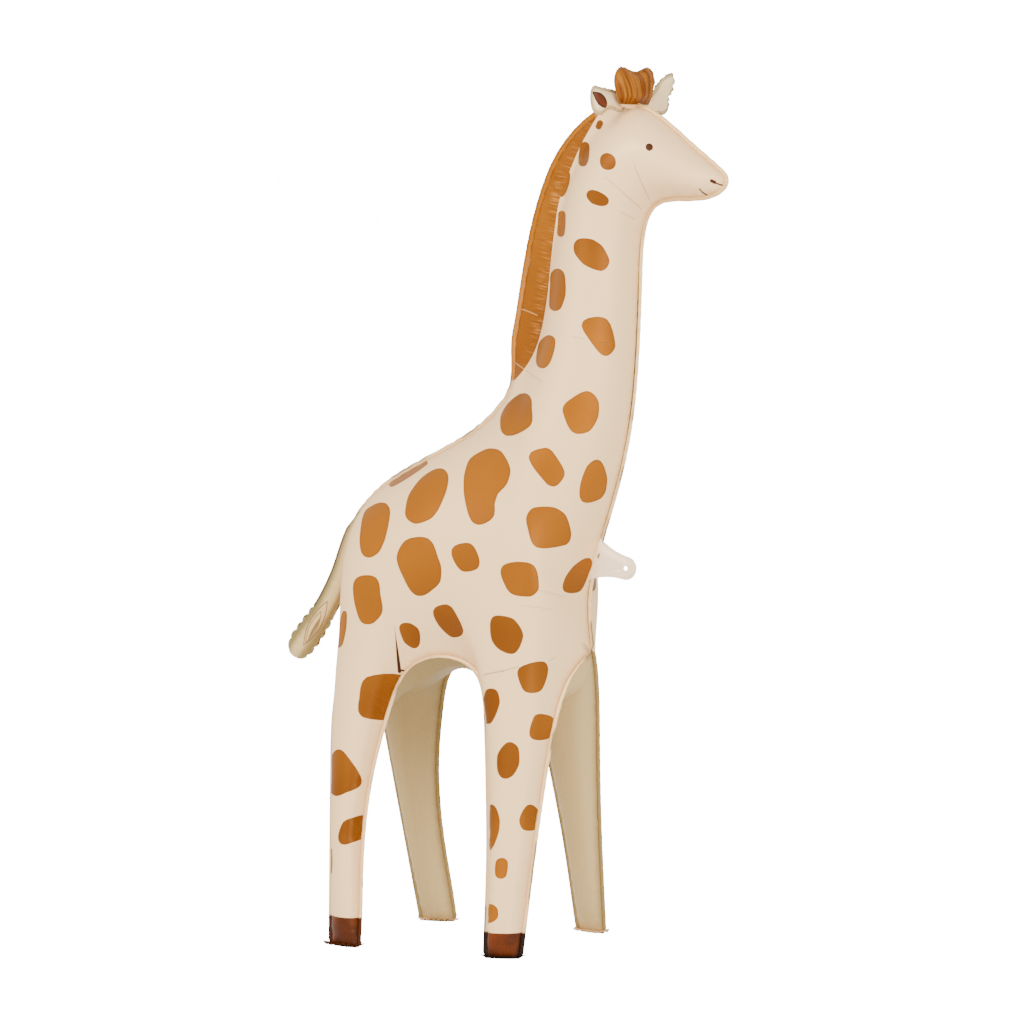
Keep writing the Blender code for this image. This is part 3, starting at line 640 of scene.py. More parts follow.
def body_cage():
    """Right half of the body as a mesh, and its welded seams as chains of points."""
    mesh = bmesh.new()
    crease = mesh.edges.layers.float.new("crease_edge")
    grid = {}
    for column in range(NOSE + 1):
        for row in range(BELLY_ROW + 1 if 0 < column < CHEST_POINT else SIDE_ROWS):
            grid[column, row] = mesh.verts.new(body_point(column, row))
    for row in (CREASE_ROW, BELLY_ROW):
        grid[0, row] = grid[0, ARCH_ROW]
        grid[CHEST_POINT, row] = grid[CHEST_POINT, ARCH_ROW]

    holes = {(c + side, row) for c in (HIND_LEG, FORE_LEG) for side in (0, 1) for row in (4, 5)}
    for column in range(NOSE):
        for row in range(BELLY_ROW if column < CHEST_POINT else ARCH_ROW):
            if (column, row) in holes:
                continue
            steps = ((0, 0), (0, 1), (1, 1), (1, 0))
            corners = list(dict.fromkeys(grid[column + a, row + b] for a, b in steps))
            if len(corners) > 2:
                face = mesh.faces.new(corners)
                face.material_index = PLAIN if row >= ARCH_ROW else PRINTED

    middle = [grid[0, row] for row in range(ARCH_ROW, -1, -1)]
    middle += [grid[column, 0] for column in range(1, NOSE + 1)]
    middle += [grid[NOSE, row] for row in range(1, ARCH_ROW + 1)]
    middle += [grid[column, ARCH_ROW] for column in range(NOSE - 1, CHEST_POINT - 1, -1)]
    creased = [middle]
    soles = []
    edges = {}
    for start, leg in ((HIND_LEG, "hind"), (FORE_LEG, "fore")):
        ring = [grid[start, 5], grid[start, 4], grid[start + 1, 4], grid[start + 2, 4],
                grid[start + 2, 5], grid[start + 2, 6], grid[start + 1, 6], grid[start, 6]]
        rear, front = [ring[0]], [ring[4]]
        for height in LEG_HEIGHTS:
            new = [mesh.verts.new(p) for p in leg_ring(leg, height)]
            for k in range(8):
                face = mesh.faces.new((ring[k], new[k], new[(k + 1) % 8], ring[(k + 1) % 8]))
                face.material_index = PRINTED if k < 4 else PLAIN
            ring = new
            rear.append(ring[0])
            front.append(ring[4])
        for corners in ((0, 7, 1), (1, 7, 6, 2), (2, 6, 5, 3), (3, 5, 4)):
            mesh.faces.new([ring[k] for k in corners])
        creased.append(ring + [ring[0]])
        soles.append([v.co.copy() for v in ring])
        edges[leg] = (rear, front)

    arch = [grid[c, ARCH_ROW] for c in range(HIND_LEG + 3, FORE_LEG)]
    seams = [
        [grid[0, ARCH_ROW]] + edges["hind"][0],
        edges["hind"][1][::-1] + arch + edges["fore"][0],
        edges["fore"][1][::-1] + [grid[CHEST_POINT, ARCH_ROW]],
    ]
    fold = [grid[c, CREASE_ROW] for c in range(HIND_LEG, FORE_LEG + 3)]
    mane_root = [grid[c, 1] for c in range(CHEST_POINT + 1, 21)]
    for chain, sharpness in [(c, 1.0) for c in creased + seams] + [(fold, 0.7), (mane_root, 0.6)]:
        for a, b in zip(chain, chain[1:]):
            edge = mesh.edges.get((a, b))
            if edge:
                edge[crease] = sharpness
    chains = [[v.co.copy() for v in chain] for chain in [middle] + seams]
    data = bpy.data.meshes.new("skin")
    mesh.to_mesh(data)
    mesh.free()
    return data, chains, soles


# %% Pieces, points and stored values
def add_piece(name, data, node, *materials):
    """Link a finished mesh, smooth it, and let it stand for one of the solids."""
    item = bpy.data.objects.new(name, data)
    bpy.context.scene.collection.objects.link(item)
    data.shade_smooth()
    for material in materials:
        data.materials.append(material)
    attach(item, "root")
    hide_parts(node)
    return item


def points_of(data):
    flat = np.zeros(len(data.vertices) * 3)
    data.vertices.foreach_get("co", flat)
    return flat.reshape(-1, 3)


def normals_of(data):
    flat = np.zeros(len(data.vertices) * 3)
    data.vertices.foreach_get("normal", flat)
    return flat.reshape(-1, 3)


def store(data, name, values):
    layer = data.attributes.new(name, "FLOAT", "POINT")
    layer.data.foreach_set("value", np.asarray(values, dtype=np.float32))


# %% Mirrored and subdivided skin
half_data, chains, soles = body_cage()
half = bpy.data.objects.new("half", half_data)
bpy.context.scene.collection.objects.link(half)
mirror = half.modifiers.new("Mirror", "MIRROR")
mirror.use_axis = (False, True, False)
mirror.merge_threshold = 0.00005
soft = half.modifiers.new("Subdivision", "SUBSURF")
soft.levels = LEVELS
soft.render_levels = LEVELS
skin_data = bpy.data.meshes.new_from_object(half.evaluated_get(bpy.context.evaluated_depsgraph_get()))
bpy.data.objects.remove(half)


# %% Finer faces along the edges of the print
def refine(data, rounds):
    """Split the faces that the edge of a spot or of the mane crosses, so that the edge is smooth."""
    for _ in range(rounds):
        points = points_of(data)
        field = np.minimum(np.abs(spot_field(points)), np.abs(mane_field(points)))
        mesh = bmesh.new()
        mesh.from_mesh(data)
        crossed = [edge for edge in mesh.edges
                   if min(field[v.index] for v in edge.verts) < 0.8 * edge.calc_length()
                   and any(face.material_index == PRINTED for face in edge.link_faces)]
        bmesh.ops.subdivide_edges(mesh, edges=crossed, cuts=1, use_grid_fill=True)
        mesh.to_mesh(data)
        mesh.free()


refine(skin_data, 2)

# Seams as fine paths with the length along them, on both sides of the animal
seam_paths = [merge_chain(chain, LEVELS) for chain in chains]
both_sides = [(path, 1.0) for path in seam_paths] + [(path, -1.0) for path in seam_paths[1:]]
seam_points, seam_runs = [], []
for path, sign in both_sides:
    run = 0.0
    for k, p in enumerate(path):
        run += (p - path[k - 1]).length if k else 0.0
        seam_points.append(Vector((p.x, p.y * sign, p.z)))
        seam_runs.append(run)
tree = kdtree.KDTree(len(seam_points))
for k, p in enumerate(seam_points):
    tree.insert(p, k)
tree.balance()

skin_points = points_of(skin_data)
nearest = [tree.find(p) for p in skin_points]
seam_distance = np.array([hit[2] for hit in nearest])
seam_run = np.array([seam_runs[hit[1]] for hit in nearest])
print("skin", len(skin_data.polygons), "faces,", len(seam_points), "seam points")

# %% [markdown]
# ## Puckers
#
# A flat foil that is blown up has too much edge, so it gathers beside every weld. The gathers are waves
# along each seam that fade away from it, pushed into the mesh along its normals. They show in the outline, so
# bump in the material alone would not do; only the finest creases are bump.

# %% Puckers beside the seams and soft unevenness
PUCKER_DEPTH = 0.0012
PUCKER_LENGTH = 0.021
PUCKER_REACH = 0.020
UNEVEN_DEPTH = 0.0007


def pucker(run, seed):
    """Uneven wave along a seam, between -1 and 1."""
    drift = noise.noise(Vector((run * 9.0, seed, 0.0))) * 1.6
    strength = 0.55 + 0.45 * noise.noise(Vector((run * 6.0, seed + 7.0, 0.0)))
    return math.sin(run / PUCKER_LENGTH * math.tau + drift * math.tau) * strength


skin_normals = normals_of(skin_data)
waves = np.array([pucker(run, 1.0) for run in seam_run])
fade = np.exp(-(seam_distance / PUCKER_REACH) ** 1.5) * np.clip(seam_distance / 0.004, 0.0, 1.0)
unevenness = np.array([noise.noise(Vector(p) * 11.0) for p in skin_points]) * UNEVEN_DEPTH
unevenness *= np.clip(seam_distance / 0.02, 0.0, 1.0)
above_floor = np.clip(skin_points[:, 2] / 0.02, 0.0, 1.0)
shift = (waves * fade * PUCKER_DEPTH + unevenness) * above_floor
skin_points = skin_points + skin_normals * shift[:, None]
skin_data.vertices.foreach_set("co", skin_points.astype(np.float32).ravel())
skin_data.update()
store(skin_data, "spot", spot_field(skin_points))
store(skin_data, "mane", mane_field(skin_points))
store(skin_data, "seam", seam_distance)
store(skin_data, "run", seam_run)
print("puckers up to %.1f mm" % (1000.0 * np.abs(shift).max()))

# %% [markdown]
# ## Foil materials
#
# The real foil is a thin film of metal under matt ink, with a soft and slightly metallic sheen. The mesh
# stores how far each point is from a seam, a spot and the mane, and the materials read those distances, so
# the colours follow the surface.

# %% Marks of the print, and folds with painted shade
FACE_MARK = srgb(58, 22, 8)
HOOF_TOP = {"hind": 0.0405, "fore": 0.0345}
# Marks on the head: two ends and half the width of each line, in steps of the picture
EYE = ((649.2, 147.0), (649.4, 147.2), 3.7)
FACE_LINES = (
    ((711.5, 180.8), (714.6, 182.3), 1.7), ((714.0, 182.6), (725.4, 186.3), 0.75),
    ((699.3, 188.8), (702.4, 192.3), 0.6), ((702.4, 192.3), (706.4, 194.8), 0.75),
    ((706.4, 194.8), (711.0, 195.7), 0.75),
)
# Pale lines of the mane
MANE_LINES = (
    ((516.0, 307.5), (526.0, 310.5), 0.55), ((526.0, 310.5), (537.0, 315.0), 0.55),
    ((513.5, 361.5), (526.0, 370.5), 0.5), ((529.5, 258.0), (518.6, 308.0), 0.8),
    ((518.6, 308.0), (514.2, 350.0), 0.8),
)
# Sharp small folds in the foil: two ends, depth in millimetres, and how much painted shade darkens them
FOLDS = (
    ((633.8, 163.5), (637.0, 173.0), 0.4, 0.35), ((637.0, 173.0), (649.3, 199.5), 0.5, 0.45),
    ((605.3, 177.5), (623.8, 193.5), 0.4, 0.35), ((623.8, 193.5), (641.6, 209.0), 0.5, 0.45),
    ((621.0, 212.0), (634.6, 219.4), 0.4, 0.35), ((573.3, 336.4), (583.8, 339.3), 0.4, 0.30),
    ((600.7, 342.8), (609.0, 344.2), 0.3, 0.6), ((541.0, 346.5), (549.0, 348.0), 0.3, 0.6),
    ((526.0, 370.5), (542.0, 382.0), 0.4, 0.35), ((484.0, 674.8), (503.0, 671.0), 0.9, 0.55),
    ((503.0, 671.0), (518.0, 667.0), 0.7, 0.45), ((539.0, 590.4), (566.0, 597.0), 0.4, 0.25),
    ((519.5, 605.5), (553.0, 609.8), 0.4, 0.25), ((549.0, 661.0), (556.0, 657.0), 0.4, 0.3),
)
# The deep fold in front of the hind leg: a slit of painted shadow that widens downward and turns at its foot
SLIT = ((394.6, 627.0), (399.6, 671.5), 0.25, 1.7)
SLIT_FOOT = ((400.0, 670.3), (403.6, 670.6), 1.0)


# %% Lines and leaves in a material
def capsule(place, start, end, radius):
    """Distance outside a thick line, in the units of the place."""
    px, py = place[0] - start[0], place[1] - start[1]
    ex, ey = end[0] - start[0], end[1] - start[1]
    paint = px.paint
    t = (px * ex + py * ey) / (ex * ex + ey * ey)
    t = paint.math("MINIMUM", paint.math("MAXIMUM", t, 0.0), 1.0)
    dx, dy = px - t * ex, py - t * ey
    return (dx * dx + dy * dy) ** 0.5 - radius


def nearest_line(place, lines):
    """Distance to the nearest of several thick lines."""
    distances = [capsule(place, *line) for line in lines]
    nearest = distances[0]
    for distance in distances[1:]:
        nearest = place[0].paint.math("MINIMUM", nearest, distance)
    return nearest


def leaf(place, start, end, half_width):
    """Distance outside a leaf shape with pointed ends."""
    ex, ey = end[0] - start[0], end[1] - start[1]
    length = math.hypot(ex, ey)
    dx, dy = place[0] - start[0], place[1] - start[1]
    along = (dx * ex + dy * ey) / (length * length / 2.0) - 1.0
    across = (dx * ey - dy * ex) / length
    return (across * across) ** 0.5 - (1.0 - along * along) * half_width


# %% Printed foil
def gathers(paint):
    """Fine relief of the foil: gathers beside the welds and faint crinkles everywhere."""
    seam = paint.attribute("seam")
    ripple = paint.grain(1.0, 1.0, paint.combine(paint.attribute("run") * 130.0, seam * 14.0, 0.0))
    near = paint.span(seam, 0.001, 0.026, 1.0, 0.0)
    return (ripple - 0.5) * near * 1.3 + (paint.grain(38.0, 1.5) - 0.5) * 0.16


def printed_foil():
    """Cream foil of the outer panels with its spots, mane, hooves, face and folds; painted shade beside the
    seams, in the folds and at the hooves' edges, and painted sheen on the spots, mane and hooves.
    """
    paint = Paint("printed foil")
    place = paint.seen()
    cloud = paint.grain(3.5, 2.0)
    seam = paint.attribute("seam")
    # Painted shade: the cream darkens toward each seam, where the skin dips into the weld
    cream = paint.mix(paint.span(seam, 0.0, 0.012, 0.35, 0.0), CREAM, SHADE_CREAM)
    # Painted sheen: a random cloud lightens the spots, and each spot darkens toward its rim so its middle
    # looks lit
    brown = paint.mix(paint.span(cloud, 0.35, 0.65, 0.0, 1.0), SPOT, SPOT_LIGHT)
    spot_edge = paint.attribute("spot")
    brown = paint.mix(paint.span(spot_edge, -0.003, -0.0005, 0.0, 0.35), brown, SPOT)
    spot = spot_edge.below(0.0, 0.0009)
    colour = paint.mix(spot, cream, brown)

    mane = paint.attribute("mane")
    strand = paint.grain(1.0, 1.5, paint.combine(place[1] * 0.62 - place[0] * 0.16, place[0] * 0.055, 0.0))
    reach = paint.span(mane + (strand - 0.5) * 0.02, 0.010, 0.022, 1.0, 0.0)
    reach = reach * paint.span(place[1], 150.0, 185.0, 0.35, 1.0)
    reach = reach * paint.span(place[1], 330.0, 360.0, 1.0, 0.3)
    # Painted sheen on the mane: the lighter brown mixed in at random
    hair = paint.mix(paint.span(cloud, 0.35, 0.65, 0.0, 1.0), MANE, SPOT_LIGHT)
    hair = paint.mix(paint.span(strand, 0.54, 0.66, 0.0, 0.75) * reach, hair, MANE_LIGHT)
    hair = paint.mix(paint.span(strand, 0.36, 0.46, 0.4, 0.0) * reach, hair, SPOT)
    hair = paint.mix(nearest_line(place, MANE_LINES).below(0.0, 0.6) * 0.55, hair, MANE_LINE)
    in_mane = mane.below(0.0, 0.0008)
    colour = paint.mix(in_mane, hair, colour)

    hoof_top = paint.span(paint.x, -0.05, 0.0, HOOF_TOP["hind"], HOOF_TOP["fore"])
    ripple = (paint.grain(30.0, 1.0) - 0.5) * 0.003
    hoof = (paint.z + ripple - hoof_top).below(0.0, 0.001)
    # Painted highlights scattered over the hooves by noise
    hoof_brown = paint.mix(paint.span(paint.grain(26.0, 1.0), 0.4, 0.65, 0.0, 0.8), HOOF, HOOF_HIGHLIGHT)
    is_fore = paint.span(paint.x, -0.05, 0.0, 0.25, 1.0)
    # Painted shade: the hooves darken beside the fore legs' seams and along the floor
    hoof_brown = paint.mix(paint.span(seam, 0.001, 0.007, 0.9, 0.0) * is_fore, hoof_brown, DARK)
    hoof_brown = paint.mix(paint.span(paint.z, 0.001, 0.007, 1.0, 0.0), hoof_brown, DARK)
    colour = paint.mix(hoof, colour, hoof_brown)

    marks = paint.math("MINIMUM", nearest_line(place, FACE_LINES), capsule(place, *EYE))
    colour = paint.mix(marks.below(0.0, 0.5), colour, FACE_MARK)

    height = gathers(paint)
    for start, end, depth, shade in FOLDS:
        distance = capsule(place, start, end, 0.0)
        groove = paint.span(distance, 0.0, 1.2, -1.0, 0.0) + paint.span(distance, 0.6, 10.0, 0.5, 0.0)
        height = height + groove * depth
        # Painted shade along each fold
        colour = paint.mix(distance.below(0.45, 0.7) * shade, colour, KHAKI_SHADE)
    top, foot, narrow, wide = SLIT
    slit = capsule(place, top, foot, 0.0) - paint.span(place[1], top[1], foot[1], narrow, wide)
    slit = paint.math("MINIMUM", slit, capsule(place, *SLIT_FOOT))
    # Painted shadow in the slit, fading toward its top
    colour = paint.mix(slit.below(0.0, 0.6) * paint.span(place[1], top[1], top[1] + 15.0, 0.4, 1.0), colour,
                       FOLD_SHADOW)
    height = height + paint.span(slit, -1.5, 0.4, -2.0, 0.0) + paint.span(slit, 0.0, 11.0, 1.4, 0.0)

    sheen = paint.math("MAXIMUM", spot, 1.0 - in_mane)
    return paint.finish(colour, 0.46 - sheen * 0.04 + (cloud - 0.5) * 0.08, 0.10 + sheen * 0.22, height)


# %% Plain foil and border foil
def plain_foil(name, light, dark, has_seams=True):
    """Foil with no print; on the inner panels painted shade darkens it up toward the belly, more so behind,
    and beside the seams.
    """
    paint = Paint(name)
    cloud = paint.grain(5.0, 2.0)
    colour = paint.mix(paint.span(cloud, 0.3, 0.7, 0.0, 0.4), light, dark)
    height = (paint.grain(60.0, 2.0) - 0.5) * 0.35
    if has_seams:
        # Painted shade: darker up under the belly and behind, and beside the seams
        rise = paint.span(paint.z, 0.10, 0.42, 0.0, 1.0) * paint.span(paint.x, -0.05, 0.10, 1.0, 0.2)
        seam = paint.attribute("seam")
        share = paint.math("MAXIMUM", rise, paint.span(seam, 0.0, 0.014, 0.6, 0.0))
        colour = paint.mix(share, light, dark)
        height = gathers(paint)
    return paint.finish(colour, 0.46 + (cloud - 0.5) * 0.1, 0.12, height)


def border_foil():
    """Welded border in painted shade: cream, with khaki and olive at its root, on inward faces, in crinkles
    and by the tail; brown behind the mane, dark beside the hooves.
    """
    paint = Paint("border foil")
    edge = paint.attribute("edge")
    run = paint.attribute("run")
    crimp = paint.grain(1.0, 2.0, paint.combine(run * 420.0, edge * 1.5, 0.0))
    patch = paint.grain(16.0, 1.0)
    below_head = paint.span(paint.z, 0.95, 1.0, 1.0, 0.0)
    front = paint.span(paint.x, 0.10, 0.14, 0.25, 0.9)
    neck = paint.span(paint.z, 0.68, 0.74, 0.0, 1.0) * paint.span(paint.z, 0.88, 0.93, 1.0, 0.0)
    # Painted shade: the border's cream is half in shade, and fully in shade on the head
    cream = paint.mix(below_head * -0.5 + 1.0, CREAM, SHADE_CREAM)
    # Painted shade along the root of the weld: khaki on the chest, olive on the front of the neck
    cream = paint.mix(paint.span(edge, 0.32, 0.62, 1.0, 0.0) * front * below_head, cream, KHAKI_SHADE)
    neck = neck * paint.span(paint.x, 0.10, 0.14, 0.0, 1.0)
    cream = paint.mix(paint.span(edge, 0.42, 0.60, 1.0, 0.0) * neck, cream, OLIVE_SHADE)
    # Painted shade in the crinkles, in patches toward the border's rim
    crinkle_shade = paint.span(patch, 0.52, 0.62, 0.0, 0.8) * paint.span(edge, 0.5, 0.9, 0.0, 1.0)
    cream = paint.mix(crinkle_shade * below_head, cream, OLIVE_SHADE)
    # Painted shade where the tail's border meets the rump
    rump = paint.span(paint.x, -0.235, -0.215, 1.0, 0.0) * paint.span(paint.z, 0.50, 0.54, 0.0, 1.0)
    cream = paint.mix(rump * paint.span(crimp, 0.35, 0.55, 0.9, 0.4), cream, OLIVE_SHADE)
    # Painted shade on the border's inward faces
    cream = paint.mix(paint.attribute("inner") * 0.8, cream, INNER_SHADE)
    behind_neck = paint.mix(paint.span(paint.z, 0.88, 0.98, 0.55, 0.0), SPOT_LIGHT, MANE_LIGHT)
    colour = paint.mix(paint.span(paint.attribute("mane"), 0.0, 0.004, 0.0, 1.0), cream, behind_neck)
    rim = paint.mix(paint.span(paint.x, -0.05, 0.0, 0.15, 1.0), HOOF, DARK)
    colour = paint.mix(paint.attribute("hoof"), colour, rim)
    return paint.finish(colour, 0.43, 0.30, (crimp - 0.5) * 0.6)


# %% Skin
printed = printed_foil()
plain = plain_foil("plain foil", PLAIN_LIGHT, PLAIN_SHADE)
border = border_foil()
add_piece("skin", skin_data, "body", printed, plain)
print("skin has", len(skin_data.polygons), "faces")

# %% [markdown]
# ## Welded borders
#
# Each seam keeps a thin flat border outside the air chamber, rippled by the gathers. A bevelled edge would be
# even all the way, so a closed strip is built across each seam, section by section: its width and its bend
# can then change along the seam.

# %% Sections of a border
RIPPLE = 0.0011
CALM_MIDDLE, CALM_MANE, CALM_LEGS = 0.6, 0.12, 0.18
BORDER_STEP = 0.0028
OUTSIDE_FROM = 0.014
ROOT = 0.003
LOWEST = 0.0002
SOLE_BORDER, SOLE_STEP, SOLE_WAVE, SOLE_RIPPLE = 0.0070, 0.0012, 0.0076, 0.0020


def resample(path, extra, step):
    """Even steps along a path, with the values that go with its points."""
    path = np.array([tuple(p) for p in path])
    extra = np.array([tuple(v) for v in extra])
    run = np.concatenate(([0.0], np.cumsum(np.linalg.norm(np.diff(path, axis=0), axis=1))))
    count = max(int(run[-1] / step), 2)
    at = np.linspace(0.0, run[-1], count + 1)
    points = np.stack([np.interp(at, run, path[:, k]) for k in range(3)], axis=1)
    others = np.stack([np.interp(at, run, extra[:, k]) for k in range(3)], axis=1)
    return at, points, others


def section(mesh, values, place, out, side, reach, bend, at, dark):
    """Corners across a border: its root in the skin, its middle and its edge, on both faces."""
    ring = []
    for share, face in ((0.0, -1), (0.5, -1), (1.0, -1), (1.0, 1), (0.5, 1), (0.0, 1)):
        corner = place + out * ((reach + ROOT) * share - ROOT)
        corner += side * (bend * share ** 1.5 + face * FOIL / 2.0)
        corner.z = max(corner.z, LOWEST)
        ring.append(mesh.verts.new(corner))
        inner = float(face * side.y * place.y < -0.001)
        values.append((share, at, inner, dark * (1.0 - inner)))
    return ring


def finished(mesh, name, keys, values):
    """Mesh data with outward faces and a stored value of each kind for every point."""
    bmesh.ops.recalc_face_normals(mesh, faces=mesh.faces)
    data = bpy.data.meshes.new(name)
    mesh.to_mesh(data)
    mesh.free()
    for key, column in zip(keys, np.array(values).T):
        store(data, key, column)
    return data


def finished_border(mesh, name, values):
    data = finished(mesh, name, ("edge", "run", "inner", "hoof"), values)
    store(data, "mane", mane_field(points_of(data)))
    return data


def join_rings(mesh, rings, closed=False):
    """Faces between rings of points that follow one another."""
    for a, b in zip(rings, rings[1:] + rings[:1] if closed else rings[1:]):
        for k in range(len(a)):
            mesh.faces.new((a[k], b[k], b[(k + 1) % len(a)], a[(k + 1) % len(a)]))


# %% Borders along the seams and round the soles
def strip_mesh(name, strips, ripple_share):
    """Thin closed strips along seams; a strip is a path, its outward directions and a seed."""
    mesh = bmesh.new()
    values = []
    for path, outward, seed in strips:
        at, points, outs = resample(path, outward, BORDER_STEP)
        calm = np.where(mane_field(points) > 0.0, CALM_MANE, ripple_share)
        rings = []
        for k in range(len(points)):
            along = Vector(points[min(k + 1, len(points) - 1)] - points[max(k - 1, 0)]).normalized()
            out = Vector(outs[k])
            out = (out - along * out.dot(along)).normalized()
            wave = pucker(at[k], seed)
            fine = noise.noise(Vector((at[k] * 160.0, seed, 3.0)))
            end = min(k, len(points) - 1 - k) * BORDER_STEP
            reach = BORDER * (1.0 + 0.14 * (wave + fine) * calm[k]) * min(1.0, 0.25 + end / 0.01)
            bend = RIPPLE * (wave + 0.5 * fine) * calm[k]
            hoof_top = HOOF_TOP["fore" if points[k][0] > 0.0 else "hind"]
            side = along.cross(out).normalized()
            dark = float(points[k][2] < hoof_top)
            rings.append(section(mesh, values, Vector(points[k]), out, side, reach, bend, at[k], dark))
        join_rings(mesh, rings)
        mesh.faces.new(rings[0])
        mesh.faces.new(rings[-1][::-1])
    return finished_border(mesh, name, values)


def sole_mesh(name, loops):
    """Scalloped border round each sole, dark beside the printed half of the foot."""
    mesh = bmesh.new()
    values = []
    for loop in loops:
        fine = merge_loop(loop, LEVELS)
        at, points, _ = resample(fine + fine[:1], fine + fine[:1], SOLE_STEP)
        points = points[:-1]
        centre = Vector(points.mean(axis=0))
        count = round(at[-1] / SOLE_WAVE)
        rings = []
        for k, point in enumerate(points):
            place = Vector(point)
            along = Vector(points[(k + 1) % len(points)] - points[k - 1]).normalized()
            out = Vector((along.y, -along.x, 0.0))
            out *= math.copysign(1.0, out.dot(place - centre))
            lump = noise.noise(place * 45.0)
            wave = math.sin(math.tau * (count * k / len(points) + 0.6 * noise.noise(place * 20.0)))
            ends = 1.0 + 0.5 * (place - centre).normalized().x ** 2
            outside = abs(place.y) > abs(centre.y) + math.copysign(OUTSIDE_FROM, centre.y)
            place.z = 0.0022 + 0.0012 * (1.0 - wave * lump)
            reach = SOLE_BORDER * ends * (1.0 + 0.3 * lump + 0.22 * wave)
            rings.append(section(mesh, values, place, out, Vector((0.0, 0.0, 1.0)), reach, SOLE_RIPPLE * wave,
                                 at[k], float(outside)))
        join_rings(mesh, rings, True)
    return finished_border(mesh, name, values)


# %% Welded borders
middle_path = seam_paths[0]
middle_out = []
for k in range(len(middle_path)):
    along = middle_path[min(k + 1, len(middle_path) - 1)] - middle_path[max(k - 1, 0)]
    middle_out.append(Vector((-along.z, 0.0, along.x)).normalized())
middle_strip = strip_mesh("border_middle", [(middle_path, middle_out, 1.0)], CALM_MIDDLE)
add_piece("border_middle", middle_strip, "body", border)

skin_tree = kdtree.KDTree(len(skin_points))
for k, p in enumerate(skin_points):
    skin_tree.insert(p, k)
skin_tree.balance()
leg_strips = []
for number, path in enumerate(seam_paths[1:]):
    for sign in (1.0, -1.0):
        flipped = [Vector((p.x, p.y * sign, p.z)) for p in path]
        outward = [Vector(skin_normals[skin_tree.find(p)[1]]) for p in flipped]
        leg_strips.append((flipped, outward, 2.0 + number))
add_piece("border_legs", strip_mesh("border_legs", leg_strips, CALM_LEGS), "body", border)
all_soles = [[Vector((p.x, p.y * sign, p.z)) for p in sole] for sole in soles for sign in (1.0, -1.0)]
sole_data = sole_mesh("border_soles", all_soles)
add_piece("border_soles", sole_data, "body", border)
print("borders:", len(middle_strip.polygons), "faces in the middle,", len(leg_strips), "leg borders")

# %% [markdown]
# ## Filling tab
#
# A flat tab in the chest seam, with an eyelet for a ribbon. A closed curve with a hole gives its outline, and
# its extrusion the thickness. The mesh is then split into small faces, so that the tab can ripple a little.

# %% Outline of the filling tab
TAB_LENGTH, TAB_ROOT_WIDTH, TAB_END_WIDTH, TAB_HOLE = 0.066, 0.062, 0.032, 0.006
TAB_HALF_THICKNESS, TAB_RIPPLE, TAB_SPLIT = 0.0005, 0.0006, 0.006
TAB_DROP = math.radians(15.0)
TAB_COLUMN = 10.65


def tab_outline(count):
    """Half of the tab's outline from the root to the middle of its round end."""
    reach = TAB_LENGTH - TAB_END_WIDTH / 2.0
    points = [Vector((-0.014, TAB_ROOT_WIDTH / 2.0))]
    for k in range(count + 1):
        t = k / count
        width = TAB_END_WIDTH + (TAB_ROOT_WIDTH - TAB_END_WIDTH) * (1.0 - t) ** 2
        points.append(Vector((reach * t, width / 2.0)))
    for k in range(1, count + 1):
        angle = math.pi / 2.0 * k / count
        round_end = Vector((math.sin(angle), math.cos(angle))) * (TAB_END_WIDTH / 2.0)
        points.append(Vector((reach, 0.0)) + round_end)
    return points, reach


# %% Filling tab
upper, reach = tab_outline(14)
loop = upper + [Vector((p.x, -p.y)) for p in reversed(upper[:-1])]
hole = [Vector((reach + math.cos(a) * TAB_HOLE / 2.0, math.sin(a) * TAB_HOLE / 2.0))
        for a in (math.tau * k / 40 for k in range(40))]
curve = bpy.data.curves.new("tab", "CURVE")
curve.dimensions = "2D"
curve.fill_mode = "BOTH"
curve.extrude = TAB_HALF_THICKNESS
for outline in (loop, hole):
    spline = curve.splines.new("POLY")
    spline.points.add(len(outline) - 1)
    for point, p in zip(spline.points, outline):
        point.co = (p.x, p.y, 0.0, 1.0)
    spline.use_cyclic_u = True
flat = bpy.data.objects.new("flat tab", curve)
bpy.context.scene.collection.objects.link(flat)
tab_data = bpy.data.meshes.new_from_object(flat.evaluated_get(bpy.context.evaluated_depsgraph_get()))
bpy.data.objects.remove(flat)
mesh = bmesh.new()
mesh.from_mesh(tab_data)
bmesh.ops.remove_doubles(mesh, verts=mesh.verts, dist=0.00002)
bmesh.ops.triangulate(mesh, faces=mesh.faces)
long_edges = [e for e in mesh.edges if e.calc_length() > TAB_SPLIT]
bmesh.ops.subdivide_edges(mesh, edges=long_edges, cuts=3, use_grid_fill=True)
seam = through(FRONT_LINE, TAB_COLUMN)
stand = (Matrix.Translation(placed(seam.x, 0.0, seam.y)) @ Matrix.Rotation(TAB_DROP, 4, "Y")
         @ Matrix.Rotation(math.pi / 2.0, 4, "X"))
for v in mesh.verts:
    away = max(abs(v.co.y) / (TAB_ROOT_WIDTH / 2.0), v.co.x / TAB_LENGTH)
    v.co.z += TAB_RIPPLE * away * noise.noise(Vector((v.co.x * 60.0, v.co.y * 60.0, 5.0)))
    v.co = stand @ v.co
bmesh.ops.recalc_face_normals(mesh, faces=mesh.faces)
mesh.to_mesh(tab_data)
mesh.free()
tab_paint = plain_foil("tab foil", srgb(240, 216, 190), CREAM, has_seams=False)
add_piece("filling_tab", tab_data, "body", tab_paint)
print("tab", len(tab_data.polygons), "faces")

# %% [markdown]
# ## Small balloons: horns and ears
#
# Each is two foils welded round an outline. A flattened ball would have no weld, so rings between the outline
# and the centre rise as a dome on both sides, and a flat rippled border goes round them. The local x of a
# pillow is its thickness, y its width, z its height.

